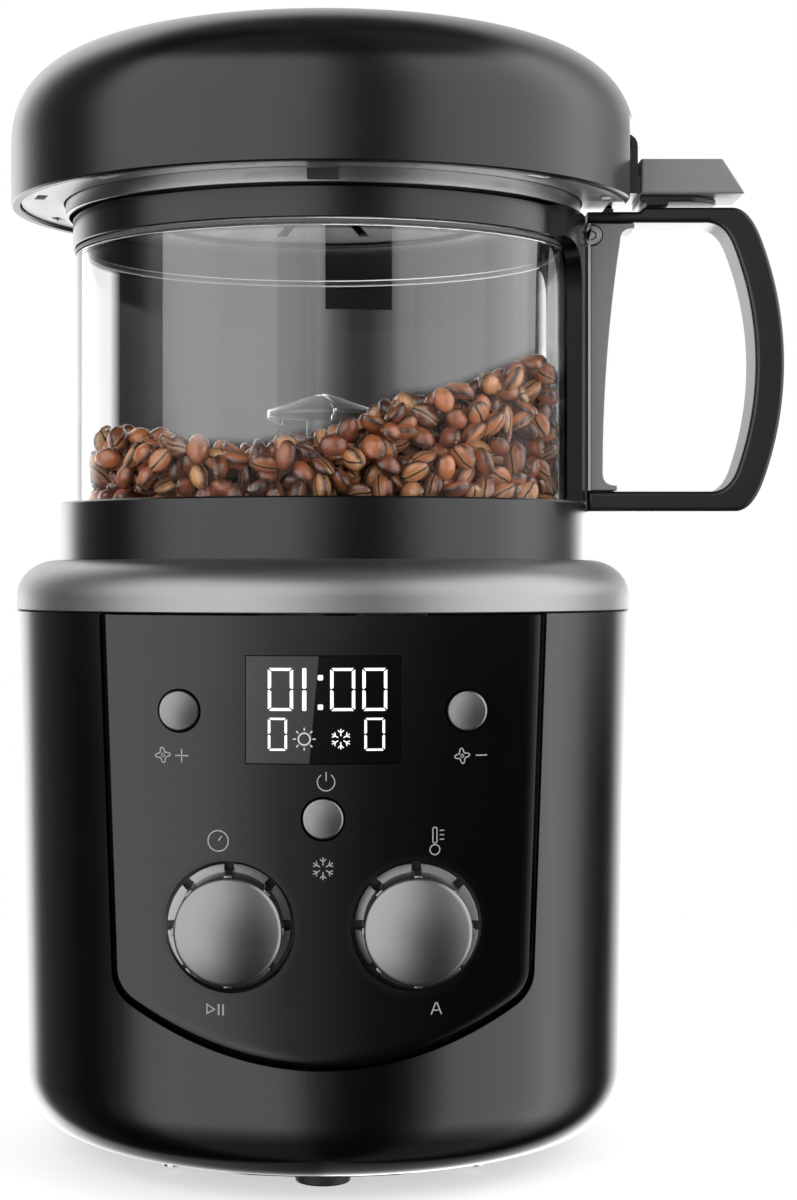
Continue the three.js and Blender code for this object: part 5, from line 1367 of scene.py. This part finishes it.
# Light round the object by azimuth, low down and high up, each times the light by height. The card is seen
# through glass only; its middle and half width are slopes from straight ahead.
studio = {
    "peak": 3.3,
    "low": [(-180, 1.0), (-148, 3.2), (-140, 2.8), (-136, 0.9), (-130, 0.2), (-111, 0.1), (-100, 0.02),
            (-90, 0.04), (-79, 0.3), (-68, 1.65), (-60, 2.0), (-20, 2.0), (-12, 1.67), (-4, 0.54), (5, 0.1),
            (13, 0.03), (22, 0.02), (30, 0.12), (39, 0.7), (48, 2.0), (80, 2.2), (92, 2.7), (106, 1.3),
            (114, 0.3), (124, 0.03), (134, 0.1), (145, 2.5), (151, 3.3)],
    "high": [(-180, 1.0), (-147, 2.0), (-136, 1.1), (-123, 0.2), (-108, 0.12), (-98, 0.12), (-91, 0.4),
             (-83, 1.7), (-75, 2.0), (-20, 2.0), (-12, 1.9), (-2, 1.7), (5, 0.7), (13, 0.2), (21, 0.2),
             (30, 0.7), (38, 1.8), (48, 2.0), (80, 2.2), (94, 2.6), (105, 2.8), (114, 2.2), (122, 1.3),
             (134, 0.7), (147, 1.0), (180, 1.0)],
    "height": [(-90, 0.06), (-50, 0.12), (-38, 0.35), (-25, 1.0), (45, 1.0), (56, 0.1), (90, 0.08)],
    "blend": (-5, 10), "cardMiddle": 0.012, "cardHalf": 0.14, "cardBlur": 0.01, "cardShade": 0.01,
    "floorRadius": 0.5, "floorDrop": 0.0002, "floorColor": (0.8, 0.8, 0.8), "floorDarker": 0.98, "floorScale": 8,
    "floorRoughness": 0.9, "floorGlow": 0.55,
}
white = (1.0, 1.0, 1.0)


# A ring of light that changes with height. Behind the roaster stands a dark card that only shows through glass.
def makeWorld():
    s = studio
    world = bpy.data.worlds.new("studio")
    scene.world = world
    world.use_nodes = True
    tree = world.node_tree
    parts = axes(tree, node(tree, "ShaderNodeTexCoord").outputs["Generated"])
    turn = mathNode(tree, "ARCTAN2", parts["X"], product(tree, parts["Y"], -1))
    around = mathNode(tree, "MULTIPLY_ADD", turn, 1 / (2 * math.pi), 0.5)
    lift = mathNode(tree, "ARCSINE", parts["Z"])
    upward = mathNode(tree, "MULTIPLY_ADD", lift, 1 / math.pi, 0.5)
    rings = [shades(tree, around, [((angle + 180) / 360, light / s["peak"]) for angle, light in s[height]])
             for height in ("low", "high")]
    ring = mixColor(tree, spread(tree, lift, *map(math.radians, s["blend"])), *rings)
    tall = shades(tree, upward, [((angle + 90) / 180, light) for angle, light in s["height"]])
    level = product(tree, ring, tall, s["peak"])
    path = node(tree, "ShaderNodeLightPath").outputs
    straight = mathNode(tree, "LESS_THAN", path["Glossy Depth"], 0.5)
    through = product(tree, path["Is Transmission Ray"], straight)
    slope = mathNode(tree, "DIVIDE", parts["X"], parts["Y"])
    slope = mathNode(tree, "ABSOLUTE", mathNode(tree, "SUBTRACT", slope, s["cardMiddle"]))
    card = spread(tree, slope, s["cardHalf"] + s["cardBlur"], s["cardHalf"] - s["cardBlur"])
    ahead = product(tree, mathNode(tree, "GREATER_THAN", parts["Y"], 0.0), card)
    level = mixColor(tree, through, level, mixColor(tree, ahead, white, (s["cardShade"],) * 3))
    feed(tree, tree.nodes["Background"], {"Color": mixColor(tree, path["Is Camera Ray"], level, white),
                                          "Strength": 1})


def makeFloor():
    s = studio
    bm = bmesh.new()
    bmesh.ops.create_circle(bm, cap_ends=True, cap_tris=False, segments=small, radius=s["floorRadius"])
    bmesh.ops.translate(bm, vec=(axisX, axisY, -s["floorDrop"]), verts=bm.verts)
    mesh = asMesh(bm, "floor")
    material, tree, shader, place = startMaterial("pale floor")
    color = s["floorColor"]
    darker = tuple(c * s["floorDarker"] for c in color)
    feed(tree, shader, {"Base Color": mixColor(tree, noise(tree, place, s["floorScale"]), darker, color),
                        "Roughness": s["floorRoughness"]})
    dark, glow = (node(tree, "ShaderNodeEmission", {"Strength": strength}).outputs[0]
                  for strength in (0, s["floorGlow"]))
    toCamera = node(tree, "ShaderNodeLightPath").outputs["Is Camera Ray"]
    shown = node(tree, "ShaderNodeMixShader", {0: toCamera, 1: dark, 2: glow}).outputs[0]
    total = node(tree, "ShaderNodeAddShader", {0: shader.outputs[0], 1: shown}).outputs[0]
    feed(tree, tree.nodes["Material Output"], {"Surface": total})
    mesh.materials.append(material)
    floor = bpy.data.objects.new("floor", mesh)
    scene.collection.objects.link(floor)
    floor.visible_glossy = False


makeWorld()
makeFloor()

view = {"distance": 0.740, "height": 0.169, "lens": 73.8, "sensor": 36, "shiftX": 0.0629, "shiftY": -0.0208}
camera = bpy.data.cameras.new("camera")
camera.sensor_fit = "VERTICAL"
camera.sensor_height = view["sensor"]
camera.lens = view["lens"]
camera.shift_x = view["shiftX"]
camera.shift_y = view["shiftY"]
cameraHolder = bpy.data.objects.new("camera", camera)
cameraHolder.location = (axisX, axisY - view["distance"], view["height"])
cameraHolder.rotation_euler = (math.pi / 2, 0, 0)
scene.collection.objects.link(cameraHolder)
scene.camera = cameraHolder
scene.view_settings.view_transform = "Standard"
print("studio made")
